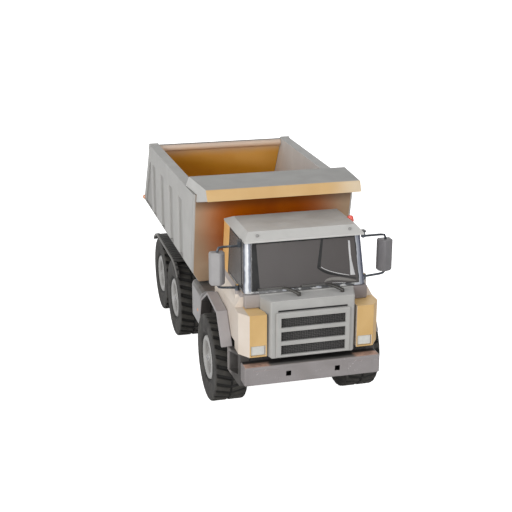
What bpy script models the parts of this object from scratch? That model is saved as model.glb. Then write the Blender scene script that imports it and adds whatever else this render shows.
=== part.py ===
"""A six-wheel toy dump truck with a tipping body, a swinging tailgate and folding mirrors.

Units are metres, +Z is up and the truck faces -Y. The pieces are drawn with the bumper's front face
at y = 0 and the ground at z = 0. A root empty carries them all, so that the finished truck has its
origin on the ground under the middle of its length.
"""
import math

import bmesh
import bpy
from mathutils import Matrix

# Clearances
GAP = 0.0003
RUNNING_GAP = 0.0004
TYRE_GAP = 0.0017
TUB_CLEARANCE = 0.0075

# Wheels and axles
TYRE_RADIUS = 0.0494
TYRE_WIDTH = 0.037
LUG_COUNT = 28
LUG_HEIGHT = 0.0028
RIM_RADIUS = 0.025
RIM_STEPS = 24
TRACK = 0.190
AXLE_RADIUS = 0.003
FRONT_AXLE_Y = 0.0975
MID_AXLE_Y = 0.2965

# Chassis frame
AXLE_TO_FRAME = 0.0126
FRAME_WIDTH = 0.072
RAIL_WIDTH = 0.010
RAIL_HEIGHT = 0.030
CARRIER_HALF = 0.009
FRONT_PLATE = 0.004

# Front bumper
BUMPER_WIDTH = 0.150
BUMPER_HEIGHT = 0.021
BUMPER_DEPTH = 0.0185
BUMPER_DROP = 0.0078
TOW_HOLE = 0.0055
TOW_SPACING = 0.054

# Cab
CAB_WIDTH = 0.154
CAB_FRONT_Y = 0.0056
CAB_REAR_Y = 0.130
SKIRT_DROP = 0.0078
SKIRT_HEIGHT = 0.0466
SHOULDER_RISE = 0.0152
GREENHOUSE_WIDTH = 0.130
BELT_WIDTH = 0.1355
PILLAR_WIDTH = 0.026
CAB_WALL = 0.003
WINDOW_HEIGHT = 0.053
WINDOW_LEAN = 0.012
WINDOW_WALL = 0.002
COWL_Y = 0.026
COWL_DEPTH = 0.008
ROOF_LIP = 0.002
ROOF_HEIGHT = 0.0097
ROOF_OVERHANG = 0.005
BEACON_RADIUS = 0.004

# Hood and grille
HOOD_WIDTH = 0.0978
HOOD_FLARE = 0.0035
HOOD_FRONT_Y = 0.004
HOOD_WALL = 0.0035
HOOD_HEIGHT = 0.0635
GRILLE_WIDTH = 0.0814
GRILLE_HEIGHT = 0.0498
GRILLE_DEPTH = 0.0027
SLOT_WIDTH = 0.0704
SLOT_HEIGHT = 0.0107
SLOT_PITCH = 0.0151
HEADLIGHT_WIDTH = 0.015
HEADLIGHT_HEIGHT = 0.0107
WIPER_BLADE = 0.0285
WIPER_BAR = 0.001
WIPER_PIVOT_Y = 0.0145

# Wheel arches, steps, tanks and mudguards
FENDER_REACH = 0.0127
FENDER_WALL = 0.003
FENDER_CLEARANCE = 0.012
STEP_REACH = 0.0085
STEP_DROP = 0.0075
TANK_WIDTH = 0.032
TANK_LENGTH = 0.048
TANK_HEIGHT = 0.045
TANK_ROUND = 0.006
TANK_INSET = 0.005
MUDGUARD_CLEARANCE = 0.004
MUDGUARD_WALL = 0.002
MUDGUARD_WIDTH = 0.037
MUDGUARD_REACH = 0.002
MUDGUARD_SWEEP = math.radians(42)
MUDGUARD_FRONT_SWEEP = math.radians(12)
BEAD_WIDTH = 0.004
BEAD_HEIGHT = 0.0008

# Dump body
TUB_FRONT_Y = 0.172
TUB_FRONT_WIDTH = 0.190
TUB_REAR_WIDTH = 0.1994
TUB_TOP_LENGTH = 0.279
TUB_KEEL = 0.0148
KEEL_CHAMFER = 0.009
FLOOR_WALL = 0.004
FLOOR_RISE = 0.012
EDGE_RISE = 0.007
SIDE_HEIGHT = 0.097
SIDE_WALL = 0.013
POCKET_DEPTH = 0.0026
POCKET_COUNT = 4
POCKET_WIDTH = 0.022
POCKET_PITCH = 0.0573
POCKET_START = 0.046
RAIL_BAND = 0.023
BULKHEAD_WALL = 0.004
BULKHEAD_LEAN = math.radians(12)
GATE_WALL = 0.004
GATE_LEAN = math.radians(32)
GATE_PIN_RADIUS = 0.0025
CANOPY_REACH = 0.0443
CANOPY_FRONT_WIDTH = 0.177
CANOPY_RISE = 0.0145
CANOPY_WALL = 0.0035
LIP_SLANT = 0.006
LIP_HEIGHT = 0.0116
LIP_WALL = 0.0019
LAMP_RADIUS = 0.0032

# Tipping hinge and hoist
HINGE_BEHIND_AXLE = 0.028
HINGE_RISE = 0.005
HINGE_PIN_RADIUS = 0.003
TIP_ANGLE = math.radians(50)
HOIST_ARM = 0.078
HOIST_BASE_RISE = 0.008
HOIST_TOP_DROP = 0.010
BARREL_RADIUS = 0.0075
TUBE_WALL = 0.0018
TRUNNION_RADIUS = 0.003
EYE_RADIUS = 0.0052
EYE_WIDTH = 0.005
HOIST_PIN_RADIUS = 0.002
LUG_PLATE = 0.003

# Mirrors
MIRROR_PIVOT_OUT = 0.0034
MIRROR_PIVOT_Y = 0.046
MIRROR_REACH = 0.022
MIRROR_WIDTH = 0.0166
MIRROR_DEPTH = 0.0125
MIRROR_HEIGHT = 0.036
ARM_RADIUS = 0.0013
PIN_RADIUS = 0.0012
SLEEVE_RADIUS = 0.0024
SLEEVE_HEIGHT = 0.0055

# Levels that follow from the sizes above
TYRE_STEPS = 2 * LUG_COUNT
TYRE_CENTRE_X = (TRACK - TYRE_WIDTH) / 2
AXLE_Z = TYRE_RADIUS * math.cos(math.pi / TYRE_STEPS)
REAR_AXLE_Y = MID_AXLE_Y + 2 * TYRE_RADIUS + TYRE_GAP
FRAME_BOTTOM = AXLE_Z + AXLE_TO_FRAME
FRAME_TOP = FRAME_BOTTOM + RAIL_HEIGHT
FRAME_FRONT = BUMPER_DEPTH + GAP
BUMPER_BOTTOM = FRAME_BOTTOM - BUMPER_DROP

SKIRT_Z = FRAME_TOP - SKIRT_DROP
SHOULDER_Z = SKIRT_Z + SKIRT_HEIGHT
BELT_Z = SHOULDER_Z + SHOULDER_RISE
WINDOW_TOP = BELT_Z + GAP + WINDOW_HEIGHT
ROOF_Z = WINDOW_TOP + GAP
CAB_MAIN_Y = COWL_Y + COWL_DEPTH + GAP
WINDOW_Y = COWL_Y + GAP + WINDOW_WALL
PILLAR_Y = CAB_REAR_Y - PILLAR_WIDTH
HOOD_BACK_Y = COWL_Y - GAP
HOOD_TOP = BELT_Z - 0.001
HOOD_BOTTOM = HOOD_TOP - HOOD_HEIGHT
GRILLE_BOTTOM = HOOD_BOTTOM + 0.001

MUDGUARD_INNER = TYRE_RADIUS + MUDGUARD_CLEARANCE
MUDGUARD_OUTER = MUDGUARD_INNER + MUDGUARD_WALL
MUDGUARD_OUT_X = TRACK / 2 + MUDGUARD_REACH
TUB_BOTTOM = AXLE_Z + MUDGUARD_OUTER + TUB_CLEARANCE
EDGE_Z = TUB_BOTTOM + TUB_KEEL
RAIL_Z = EDGE_Z + SIDE_HEIGHT
BULKHEAD_SLOPE = math.tan(BULKHEAD_LEAN)
GATE_SLOPE = math.tan(GATE_LEAN)
TUB_TOP_Y = TUB_FRONT_Y - SIDE_HEIGHT * BULKHEAD_SLOPE
GATE_Y = TUB_TOP_Y + TUB_TOP_LENGTH
TUB_FLARE = (TUB_REAR_WIDTH - TUB_FRONT_WIDTH) / 2 / TUB_TOP_LENGTH

HINGE_Y = REAR_AXLE_Y + HINGE_BEHIND_AXLE
HINGE_Z = FRAME_TOP + HINGE_RISE
HOIST_BASE_Z = FRAME_BOTTOM + HOIST_BASE_RISE
HOIST_TOP_Z = TUB_BOTTOM - HOIST_TOP_DROP
HOIST_BASE_Y = HINGE_Y - math.sqrt(HOIST_ARM ** 2 - (HINGE_Z - HOIST_BASE_Z) ** 2)
HOIST_TOP_Y = HINGE_Y - math.sqrt(HOIST_ARM ** 2 - (HOIST_TOP_Z - HINGE_Z) ** 2)
HOIST_LENGTH = math.hypot(HOIST_TOP_Y - HOIST_BASE_Y, HOIST_TOP_Z - HOIST_BASE_Z)
HOIST_TILT = math.atan2(HOIST_BASE_Y - HOIST_TOP_Y, HOIST_TOP_Z - HOIST_BASE_Z)
HOIST_REST = 2 * math.asin(HOIST_LENGTH / 2 / HOIST_ARM)
HOIST_STROKE = 2 * HOIST_ARM * math.sin((HOIST_REST + TIP_ANGLE) / 2) - HOIST_LENGTH
HOIST_SLACK = (2 * HOIST_ARM * math.sin((HOIST_REST + TIP_ANGLE / 2) / 2)
               - HOIST_LENGTH - HOIST_STROKE / 2)

HOUSE_LEAN = (BELT_WIDTH - GREENHOUSE_WIDTH) / 2 / (ROOF_Z - BELT_Z)


def house_half(z):
    """Half width over the windows and rear cab, which lean in from the belt to the roof."""
    return BELT_WIDTH / 2 - (z - BELT_Z) * HOUSE_LEAN


def pivot_x(z):
    """Distance of a mirror's leaning pivot axis from the middle at a height."""
    return house_half(z) + MIRROR_PIVOT_OUT


def tub_half(y):
    """Half width over the dump body's sides, which spread towards the rear."""
    return TUB_FRONT_WIDTH / 2 + (y - TUB_TOP_Y) * TUB_FLARE


def bulkhead_y(z):
    """Front face of the leaning bulkhead at a height."""
    return TUB_FRONT_Y - (z - EDGE_Z) * BULKHEAD_SLOPE


def gate_y(z):
    """Outer face of the leaning tailgate, and rear edge of the sides, at a height."""
    return GATE_Y + (RAIL_Z - z) * GATE_SLOPE


GATE_FOOT_Z = TUB_BOTTOM + FLOOR_RISE + FLOOR_WALL
TAIL_Y = gate_y(GATE_FOOT_Z)
GATE_THICK_Y = GATE_WALL / math.cos(GATE_LEAN)
GATE_PIN_Z = RAIL_Z - 0.005
GATE_PIN_Y = gate_y(GATE_PIN_Z) - GATE_THICK_Y / 2
TRUCK_LENGTH = TAIL_Y


# Scene, materials and joints
for old in list(bpy.data.objects):
    bpy.data.objects.remove(old, do_unlink=True)

TRUCK = bpy.data.collections.new("toy_dump_truck")
CUTTERS = bpy.data.collections.new("cutters")
bpy.context.scene.collection.children.link(TRUCK)
bpy.context.scene.collection.children.link(CUTTERS)


def joint(name, place, parent=None):
    """An empty on a joint's axis, placed in drawing coordinates."""
    empty = bpy.data.objects.new(name, None)
    empty["place"] = place
    TRUCK.objects.link(empty)
    if parent is None:
        empty.location = place
    else:
        empty.parent = parent
        empty.location = [a - b for a, b in zip(place, parent["place"])]
    return empty


ROOT = joint("truck_origin", (0, 0, 0))
ROOT.location = (0, -TRUCK_LENGTH / 2, 0)
AXLES = {
    "front": joint("front_axle_joint", (0, FRONT_AXLE_Y, AXLE_Z), ROOT),
    "mid": joint("mid_axle_joint", (0, MID_AXLE_Y, AXLE_Z), ROOT),
    "rear": joint("rear_axle_joint", (0, REAR_AXLE_Y, AXLE_Z), ROOT),
}
TIP = joint("tip_joint", (0, HINGE_Y, HINGE_Z), ROOT)
SWING = joint("tailgate_joint", (0, GATE_PIN_Y, GATE_PIN_Z), TIP)
HOIST = joint("hoist_joint", (0, HOIST_BASE_Y, HOIST_BASE_Z), ROOT)
FOLDS = {
    side: joint("mirror_" + word + "_joint", (side * pivot_x(BELT_Z), MIRROR_PIVOT_Y, BELT_Z), ROOT)
    for side, word in ((-1, "left"), (1, "right"))
}
SIDES = ((-1, "left"), (1, "right"))


def material(name, colour, roughness, metallic=0.0):
    """A plain surface finish."""
    made = bpy.data.materials.new(name)
    made.use_nodes = True
    shader = made.node_tree.nodes["Principled BSDF"]
    shader.inputs["Base Color"].default_value = (*colour, 1.0)
    shader.inputs["Roughness"].default_value = roughness
    shader.inputs["Metallic"].default_value = metallic
    return made


GREY = material("body_grey", (0.41, 0.41, 0.40), 0.5)
PALE = material("pale_grey", (0.46, 0.46, 0.45), 0.45)
YELLOW = material("cab_yellow", (0.62, 0.41, 0.17), 0.45)
ORANGE = material("tub_orange", (0.45, 0.20, 0.04), 0.5)
TRIM = material("trim_grey", (0.26, 0.25, 0.25), 0.55)
DARK = material("frame_dark", (0.05, 0.05, 0.05), 0.6)
BLACK = material("mesh_black", (0.03, 0.03, 0.03), 0.7)
RUBBER = material("tyre_rubber", (0.045, 0.043, 0.04), 0.8)
STEEL = material("axle_steel", (0.55, 0.55, 0.56), 0.3, 1.0)
SMOKE = material("smoked_clear", (0.10, 0.095, 0.09), 0.1)
LENS = material("headlight_lens", (0.6, 0.6, 0.58), 0.2)
RED = material("beacon_red", (0.8, 0.08, 0.05), 0.25)
AMBER = material("lamp_amber", (0.75, 0.38, 0.2), 0.3)


# Shapes
def mesh_object(name, bm, collection):
    """Link a finished bmesh as an object in drawing coordinates."""
    mesh = bpy.data.meshes.new(name)
    bm.to_mesh(mesh)
    bm.free()
    made = bpy.data.objects.new(name, mesh)
    collection.objects.link(made)
    made.parent = ROOT
    return made


def evaluated_bmesh(source):
    """The evaluated, welded mesh of a temporary object, which is then removed."""
    depsgraph = bpy.context.evaluated_depsgraph_get()
    mesh = bpy.data.meshes.new_from_object(source.evaluated_get(depsgraph))
    bm = bmesh.new()
    bm.from_mesh(mesh)
    bpy.data.meshes.remove(mesh)
    bpy.data.objects.remove(source, do_unlink=True)
    bmesh.ops.remove_doubles(bm, verts=bm.verts, dist=0.000005)
    bmesh.ops.recalc_face_normals(bm, faces=bm.faces)
    return bm


def box(name, x, y, z, collection=CUTTERS):
    """A rectangular block between pairs of limits."""
    low, high = zip(sorted(x), sorted(y), sorted(z))
    size = [b - a for a, b in zip(low, high)]
    centre = [(a + b) / 2 for a, b in zip(low, high)]
    bm = bmesh.new()
    bmesh.ops.create_cube(bm, size=1.0)
    place = Matrix.Translation(centre) @ Matrix.Diagonal((*size, 1.0))
    bmesh.ops.transform(bm, matrix=place, verts=bm.verts)
    return mesh_object(name, bm, collection)


AXIS_TURN = {
    "x": Matrix(((0, 0, 1, 0), (1, 0, 0, 0), (0, 1, 0, 0), (0, 0, 0, 1))),
    "y": Matrix(((1, 0, 0, 0), (0, 0, 1, 0), (0, 1, 0, 0), (0, 0, 0, 1))),
    "z": Matrix.Identity(4),
}


def prism(name, outline, axis, limits, collection=CUTTERS):
    """A flat outline, in the two other axes in X, Y, Z order, filled and extruded along an axis."""
    low, high = sorted(limits)
    curve = bpy.data.curves.new(name, "CURVE")
    curve.dimensions = "2D"
    curve.fill_mode = "BOTH"
    curve.extrude = (high - low) / 2
    spline = curve.splines.new("POLY")
    spline.points.add(len(outline) - 1)
    for point, (u, v) in zip(spline.points, outline):
        point.co = (u, v, 0, 1)
    spline.use_cyclic_u = True
    guide = bpy.data.objects.new(name, curve)
    CUTTERS.objects.link(guide)
    bm = evaluated_bmesh(guide)
    bpy.data.curves.remove(curve)
    place = AXIS_TURN[axis] @ Matrix.Translation((0, 0, (low + high) / 2))
    bmesh.ops.transform(bm, matrix=place, verts=bm.verts)
    bmesh.ops.recalc_face_normals(bm, faces=bm.faces)
    return mesh_object(name, bm, collection)


def rod(name, axis, centre, radius, limits, segments=16, collection=CUTTERS, end_radius=None):
    """A round bar along an axis; centre gives the two other coordinates in X, Y, Z order."""
    low, high = sorted(limits)
    bm = bmesh.new()
    bmesh.ops.create_cone(bm, cap_ends=True, segments=segments, radius1=radius,
                          radius2=end_radius or radius, depth=high - low)
    place = AXIS_TURN[axis] @ Matrix.Translation((*centre, (low + high) / 2))
    bmesh.ops.transform(bm, matrix=place, verts=bm.verts)
    bmesh.ops.recalc_face_normals(bm, faces=bm.faces)
    return mesh_object(name, bm, collection)


def turned(name, profile, steps, ring=True):
    """A profile of radius and height pairs, turned about its axis; a ring's profile closes on itself."""
    mesh = bpy.data.meshes.new(name)
    count = len(profile)
    edges = [(i, (i + 1) % count) for i in range(count if ring else count - 1)]
    mesh.from_pydata([(r, 0, h) for r, h in profile], edges, [])
    guide = bpy.data.objects.new(name, mesh)
    CUTTERS.objects.link(guide)
    screw = guide.modifiers.new("turn", "SCREW")
    screw.steps = steps
    screw.render_steps = steps
    screw.use_merge_vertices = True
    screw.merge_threshold = 0.00001
    return evaluated_bmesh(guide)


def tube(name, path, radius, collection=CUTTERS):
    """A round wire along a path of points, with closed ends."""
    curve = bpy.data.curves.new(name, "CURVE")
    curve.dimensions = "3D"
    curve.bevel_depth = radius
    curve.bevel_resolution = 1
    curve.use_fill_caps = True
    spline = curve.splines.new("POLY")
    spline.points.add(len(path) - 1)
    for point, place in zip(spline.points, path):
        point.co = (*place, 1)
    guide = bpy.data.objects.new(name, curve)
    CUTTERS.objects.link(guide)
    bm = evaluated_bmesh(guide)
    bpy.data.curves.remove(curve)
    return mesh_object(name, bm, collection)


def boolean(target, tools, operation):
    """Join tools to a piece, or cut them from it, as one group with its own collection."""
    group = bpy.data.collections.new(target.name + "_" + operation.lower())
    CUTTERS.children.link(group)
    for tool in tools:
        for home in tool.users_collection:
            home.objects.unlink(tool)
        group.objects.link(tool)
        tool.hide_render = True
        tool.display_type = "WIRE"
    modifier = target.modifiers.new(operation.lower(), "BOOLEAN")
    modifier.operation = operation
    modifier.operand_type = "COLLECTION"
    modifier.collection = group


def fuse(target, tools):
    boolean(target, tools, "UNION")


def cut(target, tools):
    boolean(target, tools, "DIFFERENCE")


def remap(made, rule):
    """Move every point of a mesh by a rule that takes and returns x, y and z."""
    for vertex in made.data.vertices:
        vertex.co = rule(*vertex.co)
    bm = bmesh.new()
    bm.from_mesh(made.data)
    bmesh.ops.recalc_face_normals(bm, faces=bm.faces)
    bm.to_mesh(made.data)
    bm.free()
    return made


def round_edges(made, radius, segments, choose):
    """Round the edges whose two end points pass a test."""
    bm = bmesh.new()
    bm.from_mesh(made.data)
    edges = [edge for edge in bm.edges if choose(edge.verts[0].co, edge.verts[1].co)]
    bmesh.ops.bevel(bm, geom=edges, offset=radius, segments=segments, profile=0.5, affect="EDGES")
    bm.to_mesh(made.data)
    bm.free()
    return made


def soften(made, width, segments=1):
    """Break the sharp edges of a plain block."""
    modifier = made.modifiers.new("edge", "BEVEL")
    modifier.width = width
    modifier.segments = segments
    modifier.limit_method = "ANGLE"
    modifier.angle_limit = math.radians(40)


def finish(made, surface, carrier=ROOT):
    """Give a piece its material and hang it on the joint that carries it."""
    if not made.data.materials:
        made.data.materials.append(surface)
    made.parent = carrier
    if carrier is not ROOT:
        made.location = [a - b for a, b in zip(made.location, carrier["place"])]
    made.data.shade_smooth()
    made.data.set_sharp_from_angle(angle=math.radians(35))


def arc(centre, radius, start, end, count):
    """Points along an arc, with angles measured from +Z towards +Y."""
    turns = [start + (end - start) * i / (count - 1) for i in range(count)]
    return [(centre[0] + radius * math.sin(t), centre[1] + radius * math.cos(t)) for t in turns]


# Chassis: two rails, a front plate, cross members, hinge ears, hoist plates and outriggers
HALF_FRAME = FRAME_WIDTH / 2
RAIL_IN = HALF_FRAME - RAIL_WIDTH
FRAME_REAR = HINGE_Y + 0.012
EAR_HALF = 0.010
EAR_TOP = HINGE_Z + 0.007
TRUNNION_IN = BARREL_RADIUS + 0.0015
TRUNNION_OUT = TRUNNION_IN + 0.003
TANK_Y = FRONT_AXLE_Y + (TYRE_RADIUS + FENDER_CLEARANCE) * 0.85
TANK_IN_X = TRACK / 2 - TANK_INSET - TANK_WIDTH
TANDEM_Y = (MID_AXLE_Y + REAR_AXLE_Y) / 2
STEP_IN_X = BUMPER_WIDTH / 2 - 0.010
PLATE_HALF = STEP_IN_X - 0.0005
BORE_SPAN = (-HALF_FRAME - 0.01, HALF_FRAME + 0.01)
BITE = 0.001


def chassis_members():
    """Every part of the frame except the left rail, each overlapping what it joins."""
    members = [box("rail_right", (RAIL_IN, HALF_FRAME), (FRAME_FRONT, FRAME_REAR),
                   (FRAME_BOTTOM, FRAME_TOP))]
    inside = (-RAIL_IN - BITE, RAIL_IN + BITE)
    cross_z = (FRAME_BOTTOM + 0.004, FRAME_TOP - 0.006)
    hoist_span = 0.018
    for y in (FRAME_FRONT + 0.012, FRONT_AXLE_Y + 0.060, HOIST_BASE_Y - hoist_span - 0.004,
              HOIST_BASE_Y + hoist_span + 0.004, REAR_AXLE_Y + 0.012):
        members.append(box("cross_member", inside, (y - 0.004, y + 0.004), cross_z))
    members.append(box("front_plate", (-PLATE_HALF, PLATE_HALF), (FRAME_FRONT, FRAME_FRONT + FRONT_PLATE),
                       (FRAME_BOTTOM + 0.004, HOOD_BOTTOM - GAP)))
    for side, word in SIDES:
        members.append(box("hinge_ear_" + word, (side * RAIL_IN, side * HALF_FRAME),
                           (HINGE_Y - EAR_HALF, HINGE_Y + EAR_HALF), (FRAME_TOP - BITE, EAR_TOP)))
        members.append(box("hoist_plate_" + word, (side * TRUNNION_IN, side * TRUNNION_OUT),
                           (HOIST_BASE_Y - hoist_span - BITE, HOIST_BASE_Y + hoist_span + BITE),
                           (HOIST_BASE_Z - 0.006, HOIST_BASE_Z + 0.008)))
        for y in (TANK_Y + TANK_LENGTH * 0.25, TANK_Y + TANK_LENGTH * 0.75):
            members.append(box("tank_outrigger", (side * (HALF_FRAME - BITE), side * (TANK_IN_X - GAP)),
                               (y - 0.004, y + 0.004), (FRAME_BOTTOM + 0.008, FRAME_BOTTOM + 0.022)))
        guard_arm = (TANDEM_Y - 0.006, TANDEM_Y + 0.006)
        guard_out = side * (MUDGUARD_OUT_X - MUDGUARD_WIDTH * 0.7)
        members.append(box("guard_outrigger", (side * (HALF_FRAME - BITE), guard_out),
                           guard_arm, (FRAME_TOP - 0.014, FRAME_TOP - 0.002)))
        members.append(box("guard_post", (side * (HALF_FRAME + 0.004), guard_out),
                           guard_arm, (FRAME_TOP - 0.008, AXLE_Z + MUDGUARD_INNER - GAP)))
    return members


def chassis_holes():
    """Bores for the tipping pin and the hoist's trunnions."""
    holes = [rod("hinge_bore", "x", (HINGE_Y, HINGE_Z), HINGE_PIN_RADIUS + GAP, BORE_SPAN)]
    for side, word in SIDES:
        holes.append(rod("trunnion_bore_" + word, "x", (HOIST_BASE_Y, HOIST_BASE_Z),
                         TRUNNION_RADIUS + RUNNING_GAP,
                         (side * (TRUNNION_IN - 0.0005), side * (TRUNNION_OUT + 0.0005))))
    return holes


frame = box("chassis_frame", (-HALF_FRAME, -RAIL_IN), (FRAME_FRONT, FRAME_REAR),
            (FRAME_BOTTOM, FRAME_TOP), TRUCK)
fuse(frame, chassis_members())
cut(frame, chassis_holes())
finish(frame, DARK)

# Axle carriers: a bored block under the rails for each axle
for name, empty in AXLES.items():
    y = empty["place"][1]
    carrier = box(name + "_axle_carrier", (-HALF_FRAME, HALF_FRAME), (y - CARRIER_HALF, y + CARRIER_HALF),
                  (AXLE_Z - CARRIER_HALF, FRAME_BOTTOM - GAP), TRUCK)
    cut(carrier, [rod("axle_bore_" + name, "x", empty["place"][1:], AXLE_RADIUS + RUNNING_GAP, BORE_SPAN)])
    finish(carrier, DARK)

# Front bumper: a softened bar with two square tow holes
bumper = box("front_bumper", (-BUMPER_WIDTH / 2, BUMPER_WIDTH / 2), (0, BUMPER_DEPTH),
             (BUMPER_BOTTOM, BUMPER_BOTTOM + BUMPER_HEIGHT), TRUCK)
soften(bumper, 0.0012)
tow_z = BUMPER_BOTTOM + BUMPER_HEIGHT / 2
for side, word in SIDES:
    tow_x = side * TOW_SPACING / 2
    cut(bumper, [box("tow_hole_" + word, (tow_x - TOW_HOLE / 2, tow_x + TOW_HOLE / 2),
                     (-0.01, BUMPER_DEPTH * 0.5), (tow_z - TOW_HOLE / 2, tow_z + TOW_HOLE / 2))])
finish(bumper, TRIM)


# Front wheel arches: an angular band round each front tyre, outside the cab's flank
ARCH_RADIUS = TYRE_RADIUS + FENDER_CLEARANCE
HALF_CAB = CAB_WIDTH / 2


def arch_outline(extra):
    """Six corners of the arch, from its front foot over the tyre to its rear foot."""
    reach = ARCH_RADIUS + extra
    corners = ((-58, 1.0), (-25, 1.14), (13, 1.14), (43, 1.12), (73, 1.0))
    return [(FRONT_AXLE_Y + reach * scale * math.sin(math.radians(turn)),
             AXLE_Z + reach * scale * math.cos(math.radians(turn))) for turn, scale in corners]


def arch_space(extra):
    """The arch's outline carried straight down at both feet, to cut room for the tyre."""
    corners = arch_outline(extra)
    return [(corners[0][0], AXLE_Z - 0.03)] + corners + [(corners[-1][0], AXLE_Z - 0.03)]


for side, word in SIDES:
    band = arch_outline(FENDER_WALL) + arch_outline(0)[::-1]
    fender = prism("front_fender_" + word, band, "x",
                   (side * (HALF_CAB + GAP), side * (HALF_CAB + FENDER_REACH)), TRUCK)
    finish(fender, TRIM)

# Cab body: flanks, corner blocks, rear pillars and back wall, open at the top and the front
HALF_HOUSE = GREENHOUSE_WIDTH / 2
HALF_BELT = BELT_WIDTH / 2
HALF_HOOD = HOOD_WIDTH / 2
HOOD_SHOULDER_Y = HOOD_FRONT_Y + 0.010
ARCH_IN_X = TRACK / 2 - TYRE_WIDTH - 0.003
BLOCK_IN = HALF_HOOD + 0.0005
BLOCK_FACE = BLOCK_IN + HEADLIGHT_WIDTH + 0.0037
HEAD_X = (BLOCK_IN + BLOCK_FACE) / 2
HEAD_Z = SKIRT_Z + HEADLIGHT_HEIGHT / 2 + 0.0013
HEAD_RIM = 0.0004
HEAD_SINK = 0.003
BOSS_TOP = BELT_Z - 0.0004
LOWER_ROOM = ARCH_IN_X - 0.7 * CAB_WALL


def lean_in(made):
    """Spread a piece, drawn one unit to each side, to the leaning sides of the upper cab."""
    return remap(made, lambda x, y, z: (x * house_half(z), y, z))


def pivot_rod(name, side, radius, limits):
    """A round bar on a mirror's leaning pivot axis."""
    made = rod(name, "z", (0, MIRROR_PIVOT_Y), radius, limits, 12)
    return remap(made, lambda x, y, z: (side * pivot_x(z) + x, y, z))


cab_section = [(-HALF_CAB, FRAME_TOP + GAP), (HALF_CAB, FRAME_TOP + GAP), (HALF_CAB, SHOULDER_Z),
               (HALF_BELT + 0.0005, BELT_Z), (-HALF_BELT - 0.0005, BELT_Z), (-HALF_CAB, SHOULDER_Z)]
cab = prism("cab_body", cab_section, "y", (CAB_MAIN_Y, CAB_REAR_Y), TRUCK)
cab_parts = [lean_in(box("rear_cab", (-1, 1), (PILLAR_Y, CAB_REAR_Y), (BELT_Z - 0.006, WINDOW_TOP)))]
cab_cuts = [
    box("cab_lower_room", (-LOWER_ROOM, LOWER_ROOM),
        (CAB_MAIN_Y + CAB_WALL, CAB_REAR_Y - CAB_WALL - 0.0005),
        (FRAME_TOP + GAP + CAB_WALL, BELT_Z - 0.021)),
    box("cab_upper_room", (-HALF_HOUSE + CAB_WALL, HALF_HOUSE - CAB_WALL),
        (CAB_MAIN_Y + CAB_WALL, CAB_REAR_Y - CAB_WALL), (BELT_Z - 0.0215, WINDOW_TOP + 0.01)),
]
for side, word in SIDES:
    plan = [(side * BLOCK_IN, CAB_FRONT_Y), (side * BLOCK_FACE, CAB_FRONT_Y),
            (side * HALF_CAB, CAB_FRONT_Y + 0.0134), (side * HALF_CAB, CAB_MAIN_Y + BITE),
            (side * (BLOCK_IN + HOOD_FLARE), CAB_MAIN_Y + BITE),
            (side * (BLOCK_IN + HOOD_FLARE), HOOD_BACK_Y), (side * BLOCK_IN, HOOD_SHOULDER_Y)]
    cab_parts.append(prism("corner_block_" + word, plan, "z", (SKIRT_Z, SHOULDER_Z)))
    cab_parts.append(pivot_rod("mirror_boss_" + word, side, SLEEVE_RADIUS, (SHOULDER_Z, BOSS_TOP)))
    cab_parts.append(pivot_rod("mirror_pin_" + word, side, PIN_RADIUS,
                               (SHOULDER_Z, BOSS_TOP + SLEEVE_HEIGHT + 0.0012)))
    cab_cuts.append(prism("arch_room_" + word, arch_space(0), "x",
                          (side * ARCH_IN_X, side * (HALF_CAB + 0.01))))
    room_half = HEADLIGHT_WIDTH / 2 + HEAD_RIM
    room_rise = HEADLIGHT_HEIGHT / 2 + HEAD_RIM
    cab_cuts.append(box("headlight_room_" + word, (side * HEAD_X - room_half, side * HEAD_X + room_half),
                        (CAB_FRONT_Y - 0.01, CAB_FRONT_Y + HEAD_SINK + 0.0022),
                        (HEAD_Z - room_rise, HEAD_Z + room_rise)))
fuse(cab, cab_parts)
cut(cab, cab_cuts)
finish(cab, YELLOW)

# Headlight lenses, sunk a little into the corner blocks
for side, word in SIDES:
    lens = box("headlight_" + word,
               (side * HEAD_X - HEADLIGHT_WIDTH / 2, side * HEAD_X + HEADLIGHT_WIDTH / 2),
               (CAB_FRONT_Y + 0.0018, CAB_FRONT_Y + HEAD_SINK + 0.0022 - GAP),
               (HEAD_Z - HEADLIGHT_HEIGHT / 2, HEAD_Z + HEADLIGHT_HEIGHT / 2), TRUCK)
    finish(lens, LENS)

# Cowl: the grey bar between the hood and the windscreen
cowl = box("cowl", (-HALF_BELT, HALF_BELT), (COWL_Y, COWL_Y + COWL_DEPTH),
           (SHOULDER_Z + GAP, BELT_Z - GAP), TRUCK)
soften(cowl, 0.0008)
finish(cowl, TRIM)

# Window insert: windscreen and side windows in one clear moulding with rounded corners
def window_shell(name, inset, foot, head, collection):
    """The leaning window block, smaller by an inset, between two heights."""
    slope = WINDOW_LEAN / WINDOW_HEIGHT
    start = WINDOW_Y + inset
    back = PILLAR_Y - GAP + (0.01 if inset else 0)
    base = BELT_Z + GAP
    outline = [(start + (foot - base) * slope, foot), (back, foot), (back, head),
               (start + (head - base) * slope, head)]
    shell = prism(name, outline, "x", (-1, 1), collection)
    remap(shell, lambda x, y, z: (x * (house_half(z) - inset), y, z))
    front = start + WINDOW_LEAN * 1.5

    def at_front(a, b):
        return max(a.y, b.y) < front and abs(a.x - b.x) < HALF_HOUSE and abs(a.z - b.z) > 0.001

    return round_edges(shell, 0.008 - inset, 4, at_front)


window = window_shell("window_insert", 0.0, BELT_Z + GAP, WINDOW_TOP, TRUCK)
cut(window, [window_shell("cab_air", WINDOW_WALL, BELT_Z - 0.005, WINDOW_TOP + 0.005, CUTTERS)])
finish(window, SMOKE)

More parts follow.
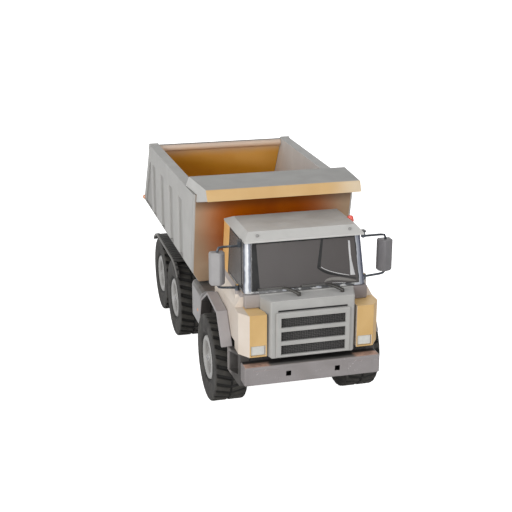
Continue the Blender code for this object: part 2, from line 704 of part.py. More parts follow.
# Roof: a cap with sloping edges, with a tab and a pin for each mirror
def roof_cap():
    """A low block whose top face is drawn in to make the sloping edges."""
    half = HALF_HOUSE + 0.0008
    front = WINDOW_Y + WINDOW_LEAN - ROOF_OVERHANG
    cap = box("cab_roof", (-half, half), (front, CAB_REAR_Y - 0.002), (ROOF_Z, ROOF_Z + ROOF_LIP),
              TRUCK)
    bm = bmesh.new()
    bm.from_mesh(cap.data)
    crown = max(bm.faces, key=lambda face: face.calc_center_median().z)
    raised = bmesh.ops.extrude_face_region(bm, geom=[crown])["geom"]
    bmesh.ops.delete(bm, geom=[crown], context="FACES_ONLY")
    for vertex in (item for item in raised if isinstance(item, bmesh.types.BMVert)):
        vertex.co.z = ROOF_Z + ROOF_HEIGHT
        vertex.co.x = math.copysign(half - 0.0063, vertex.co.x)
        vertex.co.y += 0.0098 if vertex.co.y < (front + CAB_REAR_Y) / 2 else -0.0205
    bmesh.ops.recalc_face_normals(bm, faces=bm.faces)
    bm.to_mesh(cap.data)
    bm.free()
    return cap


BEACON_X = HALF_HOUSE - 0.002
BEACON_Y = 0.072
BEACON_Z = ROOF_Z + ROOF_HEIGHT * 0.48
roof = roof_cap()
roof_tabs = []
for side, word in SIDES:
    roof_tabs.append(box("mirror_tab_" + word,
                         (side * (HALF_HOUSE - 0.002), side * (pivot_x(ROOF_Z) + SLEEVE_RADIUS)),
                         (MIRROR_PIVOT_Y - 0.003, MIRROR_PIVOT_Y + 0.003),
                         (ROOF_Z + 0.0001, ROOF_Z + 0.0019)))
    roof_tabs.append(pivot_rod("roof_pin_" + word, side, PIN_RADIUS,
                               (ROOF_Z - SLEEVE_HEIGHT - 0.0012, ROOF_Z + 0.001)))
fuse(roof, roof_tabs)
cut(roof, [rod("beacon_seat", "z", (BEACON_X, BEACON_Y), BEACON_RADIUS + GAP,
               (BEACON_Z, ROOF_Z + ROOF_HEIGHT + 0.01), 20)])
finish(roof, PALE)

beacon = rod("beacon", "z", (BEACON_X, BEACON_Y), BEACON_RADIUS, (BEACON_Z + GAP, BEACON_Z + 0.0068),
             20, TRUCK, BEACON_RADIUS * 0.8)
finish(beacon, RED)

# Hood: a housing open behind and below, with the grille's opening and a vent line
GRILLE_TOP = GRILLE_BOTTOM + GRILLE_HEIGHT
MESH_HALF = GRILLE_WIDTH / 2 - 0.003
hood_plan = [(-HALF_HOOD - HOOD_FLARE, HOOD_BACK_Y), (-HALF_HOOD, HOOD_SHOULDER_Y),
             (-HALF_HOOD + 0.0033, HOOD_FRONT_Y), (HALF_HOOD - 0.0033, HOOD_FRONT_Y),
             (HALF_HOOD, HOOD_SHOULDER_Y), (HALF_HOOD + HOOD_FLARE, HOOD_BACK_Y)]
hood = prism("hood", hood_plan, "z", (HOOD_BOTTOM, HOOD_TOP), TRUCK)
soften(hood, 0.0012)
cut(hood, [
    box("hood_room", (-HALF_HOOD + 0.0049, HALF_HOOD - 0.0049),
        (HOOD_FRONT_Y + HOOD_WALL, HOOD_BACK_Y + 0.01), (HOOD_BOTTOM - 0.01, HOOD_TOP - HOOD_WALL)),
    box("grille_room", (-MESH_HALF - GAP, MESH_HALF + GAP),
        (HOOD_FRONT_Y - 0.01, HOOD_FRONT_Y + HOOD_WALL + BITE),
        (GRILLE_BOTTOM + 0.0015, GRILLE_TOP - 0.0015)),
    box("vent_line", (-MESH_HALF, MESH_HALF), (HOOD_FRONT_Y - 0.01, HOOD_FRONT_Y + HOOD_WALL * 0.5),
        (GRILLE_TOP + GAP, GRILLE_TOP + 0.0016)),
])
finish(hood, PALE)

grille = box("grille_frame", (-GRILLE_WIDTH / 2, GRILLE_WIDTH / 2),
             (HOOD_FRONT_Y - GAP - GRILLE_DEPTH, HOOD_FRONT_Y - GAP), (GRILLE_BOTTOM, GRILLE_TOP), TRUCK)
soften(grille, 0.001)
slot_mid = (GRILLE_BOTTOM + GRILLE_TOP) / 2 - 0.0014
for row in (-1, 0, 1):
    slot_z = slot_mid + row * SLOT_PITCH
    cut(grille, [box("grille_slot", (-SLOT_WIDTH / 2, SLOT_WIDTH / 2), (-0.02, HOOD_FRONT_Y + 0.01),
                     (slot_z - SLOT_HEIGHT / 2, slot_z + SLOT_HEIGHT / 2))])
finish(grille, PALE)

mesh_plate = box("grille_mesh", (-MESH_HALF, MESH_HALF), (HOOD_FRONT_Y, HOOD_FRONT_Y + 0.0025),
                 (GRILLE_BOTTOM + 0.0015 + GAP, GRILLE_TOP - 0.0015 - GAP), TRUCK)
finish(mesh_plate, BLACK)

# Wipers: a blade along the windscreen's foot and an arm down to a pivot on the hood
BLADE_LOW = 0.0030
BLADE_HIGH = 0.0052
for end, word in ((-0.0250, "left"), (0.0230, "right")):
    start = end - WIPER_BLADE
    outline = [(start, BLADE_LOW), (end, BLADE_LOW), (end, BLADE_HIGH), (start, BLADE_HIGH)]
    wiper = prism("wiper_" + word, outline, "y", (-0.0019, -GAP), TRUCK)
    wiper.location = (0, WINDOW_Y, BELT_Z + GAP)
    wiper.rotation_euler = (-math.atan2(WINDOW_LEAN, WINDOW_HEIGHT), 0, 0)
    pivot = (end + 0.0125, WIPER_PIVOT_Y)
    arm_z = HOOD_TOP + GAP + WIPER_BAR + 0.0002
    bar = tube("wiper_arm_" + word,
               [(end - 0.0008, WINDOW_Y - 0.0005, BELT_Z + GAP + (BLADE_LOW + BLADE_HIGH) / 2),
                (end + 0.0030, WINDOW_Y - 0.0040, BELT_Z + 0.0040), (*pivot, arm_z)], WIPER_BAR)
    boss = rod("wiper_boss_" + word, "z", pivot, 2 * WIPER_BAR, (HOOD_TOP + GAP, arm_z + WIPER_BAR), 12)
    fuse(wiper, [bar, boss])
    finish(wiper, DARK)

# Steps: hollow blocks between the bumper's ends and the front wheels
STEP_BACK = min(FRONT_AXLE_Y - TYRE_RADIUS - 0.004, arch_outline(FENDER_WALL)[0][0] - 0.0005)
HALF_BUMPER = BUMPER_WIDTH / 2
STEP_TOP = SKIRT_Z - GAP
STEP_BOTTOM = BUMPER_BOTTOM - STEP_DROP
for side, word in SIDES:
    outer = HALF_BUMPER + STEP_REACH
    plan = [(side * STEP_IN_X, FRAME_FRONT), (side * HALF_BUMPER, FRAME_FRONT),
            (side * outer, STEP_BACK - 0.004), (side * outer, STEP_BACK), (side * STEP_IN_X, STEP_BACK)]
    step = prism("step_" + word, plan, "z", (STEP_BOTTOM, STEP_TOP), TRUCK)
    corner = [(side * HALF_BUMPER, STEP_BOTTOM - 0.001), (side * (outer + 0.002), STEP_BOTTOM + 0.0145),
              (side * (outer + 0.002), STEP_BOTTOM - 0.001)]
    cut(step, [prism("step_corner_" + word, corner, "y", (FRAME_FRONT - 0.005, STEP_BACK + 0.005)),
               box("step_room_" + word, (side * (HALF_BUMPER - 0.004), side * (outer + 0.01)),
                   (FRAME_FRONT + 0.004, STEP_BACK - 0.003), (STEP_BOTTOM + 0.0125, STEP_TOP - 0.003))])
    finish(step, TRIM)

# Side tanks behind the front wheels, with a bent upper edge
TANK_BOTTOM = FRAME_BOTTOM + 0.002
for side, word in SIDES:
    out_x = TANK_IN_X + TANK_WIDTH
    top = TANK_BOTTOM + TANK_HEIGHT
    bend = arc((out_x - TANK_ROUND, top - TANK_ROUND), TANK_ROUND, math.pi / 2, 0, 3)
    section = [(TANK_IN_X, TANK_BOTTOM), (out_x, TANK_BOTTOM)] + bend + [(TANK_IN_X, top)]
    tank = prism("side_tank_" + word, [(side * x, z) for x, z in section], "y",
                 (TANK_Y, TANK_Y + TANK_LENGTH), TRUCK)
    cut(tank, [prism("arch_relief_" + word, arch_space(FENDER_WALL + 0.0005), "x",
                     (side * (TANK_IN_X - 0.01), side * (out_x + 0.01)))])
    finish(tank, GREY)


# Mudguards over the rear wheel pairs: a plate with a raised bead that runs further down in front
def guard_line(radius, front_sweep):
    """The guard's path from its front foot, flat between the axles, to its rear foot."""
    front = arc((MID_AXLE_Y, AXLE_Z), radius, -front_sweep, 0, 5)
    rear = arc((REAR_AXLE_Y, AXLE_Z), radius, 0, MUDGUARD_SWEEP, 5)
    return front + rear


def guard_band(inner, outer, front_sweep):
    """The outline between two guard paths."""
    return guard_line(outer, front_sweep) + guard_line(inner, front_sweep)[::-1]


for side, word in SIDES:
    plate = guard_band(MUDGUARD_INNER, MUDGUARD_OUTER, MUDGUARD_FRONT_SWEEP)
    guard = prism("rear_mudguard_" + word, plate, "x",
                  (side * MUDGUARD_OUT_X, side * (MUDGUARD_OUT_X - MUDGUARD_WIDTH)), TRUCK)
    band = guard_band(MUDGUARD_INNER - BEAD_HEIGHT / 2, MUDGUARD_OUTER + BEAD_HEIGHT, MUDGUARD_SWEEP)
    fuse(guard, [prism("guard_bead_" + word, band, "x",
                       (side * (MUDGUARD_OUT_X + BEAD_HEIGHT / 2), side * (MUDGUARD_OUT_X - BEAD_WIDTH)))])
    finish(guard, DARK)


# Wheels: a turned tyre with bar lugs on a turned rim, in pairs on each steel axle
def tyre_mesh():
    """A ring with every second tread facet raised into a lug."""
    half = TYRE_WIDTH / 2
    bead = RIM_RADIUS + GAP
    tread = TYRE_RADIUS - LUG_HEIGHT
    flank = bead + 0.45 * (tread - bead)
    profile = [(bead, half - 0.0030), (flank, half), (tread, half - 0.0007), (tread, 0.0007 - half),
               (flank, -half), (bead, 0.0030 - half)]
    bm = turned("tyre_ring", profile[::-1], TYRE_STEPS)
    step = 2 * math.pi / TYRE_STEPS
    bmesh.ops.rotate(bm, cent=(0, 0, 0), matrix=Matrix.Rotation(step / 2, 3, "Z"), verts=bm.verts)
    lugs = []
    for face in bm.faces:
        middle = face.calc_center_median()
        on_tread = abs(middle.z) < half * 0.5 and middle.xy.length > tread * 0.9
        if on_tread and round(math.atan2(middle.y, middle.x) / step) % 2 == 0:
            lugs.append(face)
    for face in bmesh.ops.extrude_discrete_faces(bm, faces=lugs)["faces"]:
        for vertex in face.verts:
            vertex.co.xy *= TYRE_RADIUS / tread
    bmesh.ops.recalc_face_normals(bm, faces=bm.faces)
    return bm


def rim_mesh():
    """A dished disc with a raised outer ring and a hub bored for the axle."""
    face = TYRE_WIDTH / 2 - 0.0005
    bore = AXLE_RADIUS + GAP
    hub = AXLE_RADIUS + 0.005
    profile = [(bore, face), (hub, face), (hub + 0.0012, face - 0.0016),
               (RIM_RADIUS - 0.0045, face - 0.0016), (RIM_RADIUS - 0.003, face), (RIM_RADIUS, face),
               (RIM_RADIUS, 0.004 - face),
               (RIM_RADIUS - 0.003, 0.004 - face), (RIM_RADIUS - 0.003, face - 0.008),
               (hub, face - 0.008), (hub, 0.006 - face), (bore, 0.006 - face)]
    return turned("rim_disc", profile[::-1], RIM_STEPS)


for name, empty in AXLES.items():
    axle_half = TRACK / 2 - 0.001
    shaft = rod(name + "_axle", "x", empty["place"][1:], AXLE_RADIUS, (-axle_half, axle_half), 16, TRUCK)
    finish(shaft, STEEL, empty)
    for side, word in SIDES:
        for piece, shape, surface in (("rim", rim_mesh, GREY), ("tyre", tyre_mesh, RUBBER)):
            made = mesh_object(piece + "_" + name + "_" + word, shape(), TRUCK)
            made.location = (side * TYRE_CENTRE_X, empty["place"][1], AXLE_Z)
            made.rotation_euler = (0, side * math.pi / 2, 0)
            finish(made, surface, empty)


# Dump body
def flare(made, side):
    """Lay a flat side piece, drawn with x as depth from the inner face, on the spreading body side."""
    return remap(made, lambda x, y, z: (side * (tub_half(y) - SIDE_WALL + x), y, z))


def edge_z(y):
    """Height of the floor moulding's upper edge, which rises to the rear."""
    return EDGE_Z + EDGE_RISE * (y - TUB_FRONT_Y) / (TAIL_Y - TUB_FRONT_Y)


def floor_section(y, rise, lean):
    """The shallow tray's cross section at a place, leaning with the bulkhead if asked."""
    half = tub_half(y)
    edge = edge_z(y) if rise else EDGE_Z
    bottom = TUB_BOTTOM + (FLOOR_RISE if rise else 0)
    top = bottom + FLOOR_WALL
    inner = half - SIDE_WALL
    right = [(half - KEEL_CHAMFER, bottom), (half, edge), (inner, edge), (inner, top)]
    left = [(-x, z) for x, z in right[::-1]]
    return [(x, y + (EDGE_Z - z) * lean, z) for x, z in right + left]


def floor_mesh():
    """A loft between the tray's front and rear sections."""
    start = TUB_FRONT_Y + BULKHEAD_WALL + GAP
    bm = bmesh.new()
    rings = []
    for section in (floor_section(start, False, BULKHEAD_SLOPE), floor_section(TAIL_Y, True, 0)):
        ring = [bm.verts.new(point) for point in section]
        edges = [bm.edges.new((ring[i - 1], ring[i])) for i in range(len(ring))]
        bm.faces.new(ring)
        rings += edges
    bmesh.ops.bridge_loops(bm, edges=rings)
    bmesh.ops.recalc_face_normals(bm, faces=bm.faces)
    return bm


SILL_FRONT = TUB_FRONT_Y + 0.014
SILL_REAR = HINGE_Y - 0.015
LUG_IN = RAIL_IN - 0.011
LUG_OUT = RAIL_IN - 0.001
EYE_GAP = EYE_WIDTH / 2 + 0.0007
tub_floor = mesh_object("tub_floor", floor_mesh(), TRUCK)
bearers = []
for side, word in SIDES:
    bearers.append(box("sill_" + word, (side * RAIL_IN, side * HALF_FRAME), (SILL_FRONT, SILL_REAR),
                       (FRAME_TOP + GAP, TUB_BOTTOM + 0.0035)))
    bearers.append(box("hinge_lug_" + word, (side * LUG_IN, side * LUG_OUT),
                       (HINGE_Y - 0.008, HINGE_Y + 0.008), (HINGE_Z - 0.006, TUB_BOTTOM + FLOOR_RISE)))
    bearers.append(box("hoist_lug_" + word, (side * EYE_GAP, side * (EYE_GAP + LUG_PLATE)),
                       (HOIST_TOP_Y - 0.006, HOIST_TOP_Y + 0.006),
                       (HOIST_TOP_Z - 0.0045, TUB_BOTTOM + FLOOR_RISE - 0.003)))
fuse(tub_floor, bearers)
cut(tub_floor, [
    rod("tip_bore", "x", (HINGE_Y, HINGE_Z), HINGE_PIN_RADIUS + RUNNING_GAP, (-HALF_FRAME, HALF_FRAME)),
    rod("hoist_pin_bore", "x", (HOIST_TOP_Y, HOIST_TOP_Z), HOIST_PIN_RADIUS + GAP, (-0.012, 0.012)),
])
finish(tub_floor, ORANGE, TIP)

tip_pin = rod("tip_hinge_pin", "x", (HINGE_Y, HINGE_Z), HINGE_PIN_RADIUS, (-HALF_FRAME, HALF_FRAME),
              16, TRUCK)
finish(tip_pin, STEEL)

half_front = tub_half(TUB_TOP_Y)
bulkhead_outline = [(-half_front + KEEL_CHAMFER, TUB_BOTTOM), (half_front - KEEL_CHAMFER, TUB_BOTTOM),
                    (half_front, EDGE_Z), (half_front, RAIL_Z),
                    (-half_front, RAIL_Z), (-half_front, EDGE_Z)]
bulkhead = prism("tub_bulkhead", bulkhead_outline, "y", (0, BULKHEAD_WALL), TRUCK)
remap(bulkhead, lambda x, y, z: (x, y + bulkhead_y(z), z))
finish(bulkhead, ORANGE, TIP)


def side_outline():
    """The side panel's four corners: leaning with the bulkhead in front and the gate behind."""
    behind = BULKHEAD_WALL + GAP
    low_front = EDGE_Z + GAP
    low_rear = edge_z(TAIL_Y) + GAP
    return [(bulkhead_y(low_front) + behind, low_front), (gate_y(low_rear), low_rear),
            (gate_y(RAIL_Z), RAIL_Z), (bulkhead_y(RAIL_Z) + behind, RAIL_Z)]


def side_pockets(word, side):
    """Shallow recesses between the ribs, open at the lower edge, and one beside the rear post."""
    depth = (SIDE_WALL - POCKET_DEPTH, SIDE_WALL + 0.01)
    head = RAIL_Z - RAIL_BAND
    foot = EDGE_Z - 0.005
    outlines = []
    for index in range(POCKET_COUNT):
        y = TUB_FRONT_Y + POCKET_START + index * POCKET_PITCH
        outlines.append([(y, foot), (y + POCKET_WIDTH, foot), (y + POCKET_WIDTH, head), (y, head)])
    last = TUB_FRONT_Y + POCKET_START + (POCKET_COUNT - 1) * POCKET_PITCH + POCKET_WIDTH
    rib = POCKET_PITCH - POCKET_WIDTH
    post = 0.012
    tail = [(last + rib * 0.35, foot), (gate_y(foot) - post, foot), (gate_y(head) - post, head),
            (min(last + rib * 0.35, gate_y(head) - post - 0.003), head)]
    outlines.append(tail)
    return [flare(prism("pocket_" + word, outline, "x", depth), side) for outline in outlines]


KNUCKLE_RADIUS = 0.007
for side, word in SIDES:
    panel = flare(prism("tub_side_" + word, side_outline(), "x", (0, SIDE_WALL), TRUCK), side)
    knuckle = rod("gate_knuckle_" + word, "x", (GATE_PIN_Y, GATE_PIN_Z), KNUCKLE_RADIUS,
                  (0.0004, SIDE_WALL - 0.0004), 20)
    fuse(panel, [flare(knuckle, side)])
    cut(panel, side_pockets(word, side) + [
        rod("gate_bore_" + word, "x", (GATE_PIN_Y, GATE_PIN_Z), GATE_PIN_RADIUS + GAP,
            (side * (tub_half(GATE_Y) - SIDE_WALL - 0.01), side * (tub_half(GATE_Y) + 0.01)))])
    finish(panel, GREY, TIP)
    lamp_y = gate_y(edge_z(TAIL_Y)) - 0.0065
    lamp_z = edge_z(TAIL_Y) + 0.0045
    lamp_x = tub_half(lamp_y) + GAP
    lamp = rod("marker_lamp_" + word, "x", (lamp_y, lamp_z), LAMP_RADIUS, (0, LAMP_RADIUS), 12, TRUCK,
               LAMP_RADIUS * 0.6)
    remap(lamp, lambda x, y, z, s=side, base=lamp_x: (s * (base + x), y, z))
    finish(lamp, AMBER, TIP)

gate_rod_half = tub_half(GATE_PIN_Y) - 0.0005
gate_rod = rod("tailgate_hinge_rod", "x", (GATE_PIN_Y, GATE_PIN_Z), GATE_PIN_RADIUS,
               (-gate_rod_half, gate_rod_half), 16, TRUCK)
finish(gate_rod, STEEL, TIP)


# Tailgate: a leaning plate that hangs from the hinge rod between the sides
def gate_fit(made):
    """Spread a gate piece, drawn one unit to each side, to the sides' inner faces."""
    return remap(made, lambda x, y, z: (x * (tub_half(y) - SIDE_WALL - 2 * GAP), y, z))


gate_low = GATE_FOOT_Z + GAP
gate_high = GATE_PIN_Z + 0.003
gate_outline = [(gate_y(gate_low) - GATE_THICK_Y, gate_low), (gate_y(gate_low), gate_low),
                (gate_y(gate_high), gate_high), (gate_y(gate_high) - GATE_THICK_Y, gate_high)]
gate = gate_fit(prism("tailgate", gate_outline, "x", (-1, 1), TRUCK))
fuse(gate, [gate_fit(rod("gate_barrel", "x", (GATE_PIN_Y, GATE_PIN_Z), 0.005, (-1, 1), 16))])
cut(gate, [rod("gate_rod_bore", "x", (GATE_PIN_Y, GATE_PIN_Z), GATE_PIN_RADIUS + RUNNING_GAP,
               (-TUB_REAR_WIDTH, TUB_REAR_WIDTH))])
finish(gate, ORANGE, SWING)


# Canopy: a hollow hood over the cab, standing on the rails, with a yellow lip along its front
CANOPY_FOOT_Y = TUB_TOP_Y - CANOPY_REACH
CANOPY_FOOT_Z = RAIL_Z + CANOPY_RISE - LIP_HEIGHT
CANOPY_TOP_Z = RAIL_Z + CANOPY_RISE
CANOPY_BACK_Y = TUB_TOP_Y + 0.030
CANOPY_TAIL_Y = TUB_TOP_Y + 0.044
CANOPY_CHIN = 0.009


def canopy_half(y):
    """Half width of the canopy, which narrows from the body sides towards the lip."""
    share = (y - CANOPY_FOOT_Y) / (CANOPY_TAIL_Y - CANOPY_FOOT_Y)
    return CANOPY_FRONT_WIDTH / 2 + share * (tub_half(CANOPY_TAIL_Y) - CANOPY_FRONT_WIDTH / 2)


def canopy_fit(made, inset=0.0):
    """Spread a canopy piece, drawn one unit to each side, to the canopy's width."""
    return remap(made, lambda x, y, z: (x * (canopy_half(y) - inset), y, z))


lip_back = LIP_WALL + GAP
seat = RAIL_Z + GAP
chin_z = RAIL_Z - CANOPY_CHIN
canopy_outline = [(CANOPY_FOOT_Y + lip_back, CANOPY_FOOT_Z),
                  (CANOPY_FOOT_Y + lip_back + LIP_SLANT, CANOPY_TOP_Z),
                  (CANOPY_BACK_Y, CANOPY_TOP_Z), (CANOPY_TAIL_Y, seat), (bulkhead_y(seat) - GAP, seat),
                  (bulkhead_y(chin_z) - GAP, chin_z)]
wall = CANOPY_WALL
room_outline = [(CANOPY_FOOT_Y + lip_back + wall, chin_z - 0.01),
                (CANOPY_FOOT_Y + lip_back + wall, CANOPY_FOOT_Z),
                (CANOPY_FOOT_Y + lip_back + LIP_SLANT + wall * 0.7, CANOPY_TOP_Z - wall),
                (CANOPY_BACK_Y - wall * 0.5, CANOPY_TOP_Z - wall),
                (CANOPY_TAIL_Y - wall * 1.4, seat - 0.001), (CANOPY_TAIL_Y - wall * 1.4, chin_z - 0.01)]
canopy = canopy_fit(prism("tub_canopy", canopy_outline, "x", (-1, 1), TRUCK))
cut(canopy, [canopy_fit(prism("canopy_room", room_outline, "x", (-1, 1)), wall)])
finish(canopy, GREY, TIP)

lip_outline = [(CANOPY_FOOT_Y, CANOPY_FOOT_Z), (CANOPY_FOOT_Y + LIP_SLANT, CANOPY_TOP_Z),
               (CANOPY_FOOT_Y + LIP_SLANT + LIP_WALL, CANOPY_TOP_Z),
               (CANOPY_FOOT_Y + LIP_WALL, CANOPY_FOOT_Z)]
lip = canopy_fit(prism("canopy_lip", lip_outline, "x", (-1, 1), TRUCK))
finish(lip, YELLOW, TIP)

# Hoist: a barrel on trunnions, a middle tube and a rod, nested at rest and drawn out as the body tips
HALF_STROKE = HOIST_STROKE / 2
TUBE_RADIUS = BARREL_RADIUS - TUBE_WALL - GAP
ROD_RADIUS = TUBE_RADIUS - TUBE_WALL - GAP
BARREL_TOP = HOIST_LENGTH - EYE_RADIUS - 0.006
BARREL_BOTTOM = BARREL_TOP - HALF_STROKE - 0.010
TUBE_BOTTOM = BARREL_BOTTOM + TUBE_WALL + GAP
ROD_BOTTOM = TUBE_BOTTOM + TUBE_WALL + GAP
EYE_AT = HOIST_LENGTH + HOIST_SLACK / 2
HOIST_STAND = (Matrix.Translation((0, HOIST_BASE_Y, HOIST_BASE_Z))
               @ Matrix.Rotation(HOIST_TILT, 4, "X"))


def stand(made):
    """Stand a piece drawn along Z on the hoist's base pivot, along the hoist's resting line."""
    made.data.transform(HOIST_STAND)
    return made


def cup(name, radius, low, high):
    """A round tube with a closed lower end."""
    inner = radius - TUBE_WALL
    profile = [(0, low + TUBE_WALL), (inner, low + TUBE_WALL), (inner, high), (radius, high),
               (radius, low), (0, low)]
    return stand(mesh_object(name, turned(name, profile, 20, False), TRUCK))


barrel = cup("hoist_barrel", BARREL_RADIUS, BARREL_BOTTOM, BARREL_TOP)
fuse(barrel, [stand(rod("trunnion_" + word, "x", (0, 0), TRUNNION_RADIUS,
                        (side * (BARREL_RADIUS - 0.0013), side * (TRUNNION_OUT + 0.001))))
              for side, word in SIDES])
finish(barrel, STEEL, HOIST)

middle_tube = cup("hoist_stage", TUBE_RADIUS, TUBE_BOTTOM, BARREL_TOP + 0.002)
finish(middle_tube, STEEL, HOIST)

NECK_RADIUS = EYE_WIDTH / 2
neck = BARREL_TOP + 0.0005
rod_profile = [(0, EYE_AT - EYE_RADIUS + 0.0016), (NECK_RADIUS, EYE_AT - EYE_RADIUS + 0.0016),
               (NECK_RADIUS, neck + 0.001), (ROD_RADIUS, neck), (ROD_RADIUS, ROD_BOTTOM), (0, ROD_BOTTOM)]
ram = stand(mesh_object("hoist_rod", turned("hoist_rod", rod_profile, 20, False), TRUCK))
fuse(ram, [stand(rod("eye_disc", "x", (0, EYE_AT), EYE_RADIUS, (-EYE_WIDTH / 2, EYE_WIDTH / 2), 20))])
slot_half = HOIST_PIN_RADIUS + GAP
slot_ends = (arc((0, HOIST_LENGTH), slot_half, math.pi / 2, math.pi * 1.5, 9)
             + arc((0, HOIST_LENGTH + HOIST_SLACK), slot_half, math.pi * 1.5, math.pi * 2.5, 9))
cut(ram, [stand(prism("eye_slot", slot_ends, "x", (-0.01, 0.01)))])
finish(ram, STEEL, HOIST)

top_pin_half = EYE_GAP + LUG_PLATE + 0.001
top_pin = rod("hoist_top_pin", "x", (HOIST_TOP_Y, HOIST_TOP_Z), HOIST_PIN_RADIUS,
              (-top_pin_half, top_pin_half), 12, TRUCK)
finish(top_pin, STEEL, TIP)

# Mirrors: a bent wire arm with two sleeves on the leaning pivot pins, carrying a wedge-fronted housing
MIRROR_AHEAD = 0.0035
UPPER_Z = ROOF_Z - RUNNING_GAP - SLEEVE_HEIGHT / 2
LOWER_Z = BOSS_TOP + RUNNING_GAP + SLEEVE_HEIGHT / 2
UPPER_ARM_Z = UPPER_Z - 0.3 * SLEEVE_HEIGHT
HOUSING_Z = (BELT_Z + ROOF_Z) / 2
HOUSING_LOW = HOUSING_Z - MIRROR_HEIGHT / 2
HOUSING_HIGH = HOUSING_Z + MIRROR_HEIGHT / 2
STEM_X = pivot_x(BELT_Z) + MIRROR_REACH
STEM_Y = MIRROR_PIVOT_Y - MIRROR_AHEAD
LEG_SLOPE = 0.0016


def arm_leg(side, start_z, end_z):
    """Half of the wire: from its sleeve, out along a slight slope, round a bend to the housing."""
    drop = (end_z - start_z) / 6
    return [(side * (pivot_x(start_z) + 0.002), MIRROR_PIVOT_Y, start_z),
            (side * (STEM_X - 0.0055), STEM_Y + 0.1 * MIRROR_AHEAD, start_z + LEG_SLOPE + drop),
            (side * (STEM_X - 0.0015), STEM_Y, start_z + LEG_SLOPE + 2 * drop),
            (side * STEM_X, STEM_Y, end_z)]


for side, word in SIDES:
    upper = arm_leg(side, UPPER_ARM_Z, HOUSING_HIGH + 0.0012)
    lower = arm_leg(side, LOWER_Z, HOUSING_LOW - 0.0006)
    arm = tube("mirror_arm_" + word, upper + lower[::-1], ARM_RADIUS, TRUCK)
    half = SLEEVE_HEIGHT / 2
    sleeves = []
    bores = []
    for z in (UPPER_Z, LOWER_Z):
        sleeves.append(pivot_rod("sleeve_" + word, side, SLEEVE_RADIUS, (z - half, z + half)))
        bores.append(pivot_rod("sleeve_bore_" + word, side, PIN_RADIUS + RUNNING_GAP,
                               (z - SLEEVE_HEIGHT, z + SLEEVE_HEIGHT)))
    fuse(arm, sleeves)
    cut(arm, bores)
    finish(arm, DARK, FOLDS[side])

    half = MIRROR_WIDTH / 2
    rear = MIRROR_DEPTH * 0.48
    ridge = rear - MIRROR_DEPTH
    plan = [(-half, ridge * 0.05), (-half * 0.3, ridge), (half, ridge * 0.3), (half, rear), (-half, rear)]
    housing = prism("mirror_housing_" + word, [(side * (STEM_X + x), STEM_Y + y) for x, y in plan], "z",
                    (HOUSING_LOW, HOUSING_HIGH), TRUCK)
    soften(housing, 0.0016)
    cut(housing, [rod("stem_bore_" + word, "z", (side * STEM_X, STEM_Y), ARM_RADIUS + GAP,
                      (HOUSING_LOW - MIRROR_HEIGHT, HOUSING_HIGH + MIRROR_HEIGHT), 12)])
    finish(housing, GREY, FOLDS[side])
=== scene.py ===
"""Looks of the toy dump truck: moulded plastic, rubber tyres, clear windows and steel pins."""
import math

import bmesh
import bpy
import numpy as np
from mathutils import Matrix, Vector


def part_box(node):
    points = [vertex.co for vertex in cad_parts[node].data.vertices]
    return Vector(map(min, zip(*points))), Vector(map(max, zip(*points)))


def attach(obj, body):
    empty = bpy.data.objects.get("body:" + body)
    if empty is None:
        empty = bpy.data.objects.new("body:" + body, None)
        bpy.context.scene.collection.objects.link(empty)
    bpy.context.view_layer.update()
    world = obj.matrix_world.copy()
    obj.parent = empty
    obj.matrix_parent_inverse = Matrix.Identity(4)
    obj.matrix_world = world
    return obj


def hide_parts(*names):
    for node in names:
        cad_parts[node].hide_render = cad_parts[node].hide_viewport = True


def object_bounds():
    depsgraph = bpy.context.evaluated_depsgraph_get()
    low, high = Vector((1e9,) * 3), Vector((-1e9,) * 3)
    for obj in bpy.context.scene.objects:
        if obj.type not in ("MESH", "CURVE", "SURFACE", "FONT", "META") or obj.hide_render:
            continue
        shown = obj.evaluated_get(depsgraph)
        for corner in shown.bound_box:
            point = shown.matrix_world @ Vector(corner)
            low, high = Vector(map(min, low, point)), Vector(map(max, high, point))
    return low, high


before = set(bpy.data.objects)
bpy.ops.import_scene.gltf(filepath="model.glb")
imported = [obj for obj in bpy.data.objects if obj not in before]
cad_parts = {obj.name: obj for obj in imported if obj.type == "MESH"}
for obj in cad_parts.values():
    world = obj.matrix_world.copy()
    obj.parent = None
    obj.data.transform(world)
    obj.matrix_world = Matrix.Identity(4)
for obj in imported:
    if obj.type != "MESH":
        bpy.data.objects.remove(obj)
cad_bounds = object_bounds()

# Chassis frame: one black moulding of two rails, cross members, outriggers and hinge ears, with three
# axle carriers screwed under the rails. It is unpainted polypropylene with a fine spark-eroded grain,
# and every edge has a small mould radius.


def paint(red, green, blue):
    """A colour written as screen values from 0 to 255, turned to linear light."""
    screen = np.array((red, green, blue)) / 255.0
    linear = np.where(screen <= 0.04045, screen / 12.92, ((screen + 0.055) / 1.055) ** 2.4)
    return (*linear.tolist(), 1.0)


def new_finish(name, roughness, metallic=0.0):
    """An empty finish: its material, node tree, shader and object coordinates."""
    material = bpy.data.materials.new(name)
    material.use_nodes = True
    tree = material.node_tree
    shader = tree.nodes["Principled BSDF"]
    shader.inputs["Roughness"].default_value = roughness
    shader.inputs["Metallic"].default_value = metallic
    coords = tree.nodes.new("ShaderNodeTexCoord")
    return material, tree, shader, coords


def noise(tree, coords, scale, detail=3.0, distortion=0.0):
    """Cloudy values round 0.5 over the piece, with a scale in waves per metre."""
    node = tree.nodes.new("ShaderNodeTexNoise")
    node.inputs["Scale"].default_value = scale
    node.inputs["Detail"].default_value = detail
    node.inputs["Distortion"].default_value = distortion
    tree.links.new(coords.outputs["Object"], node.inputs["Vector"])
    return node.outputs["Fac"]


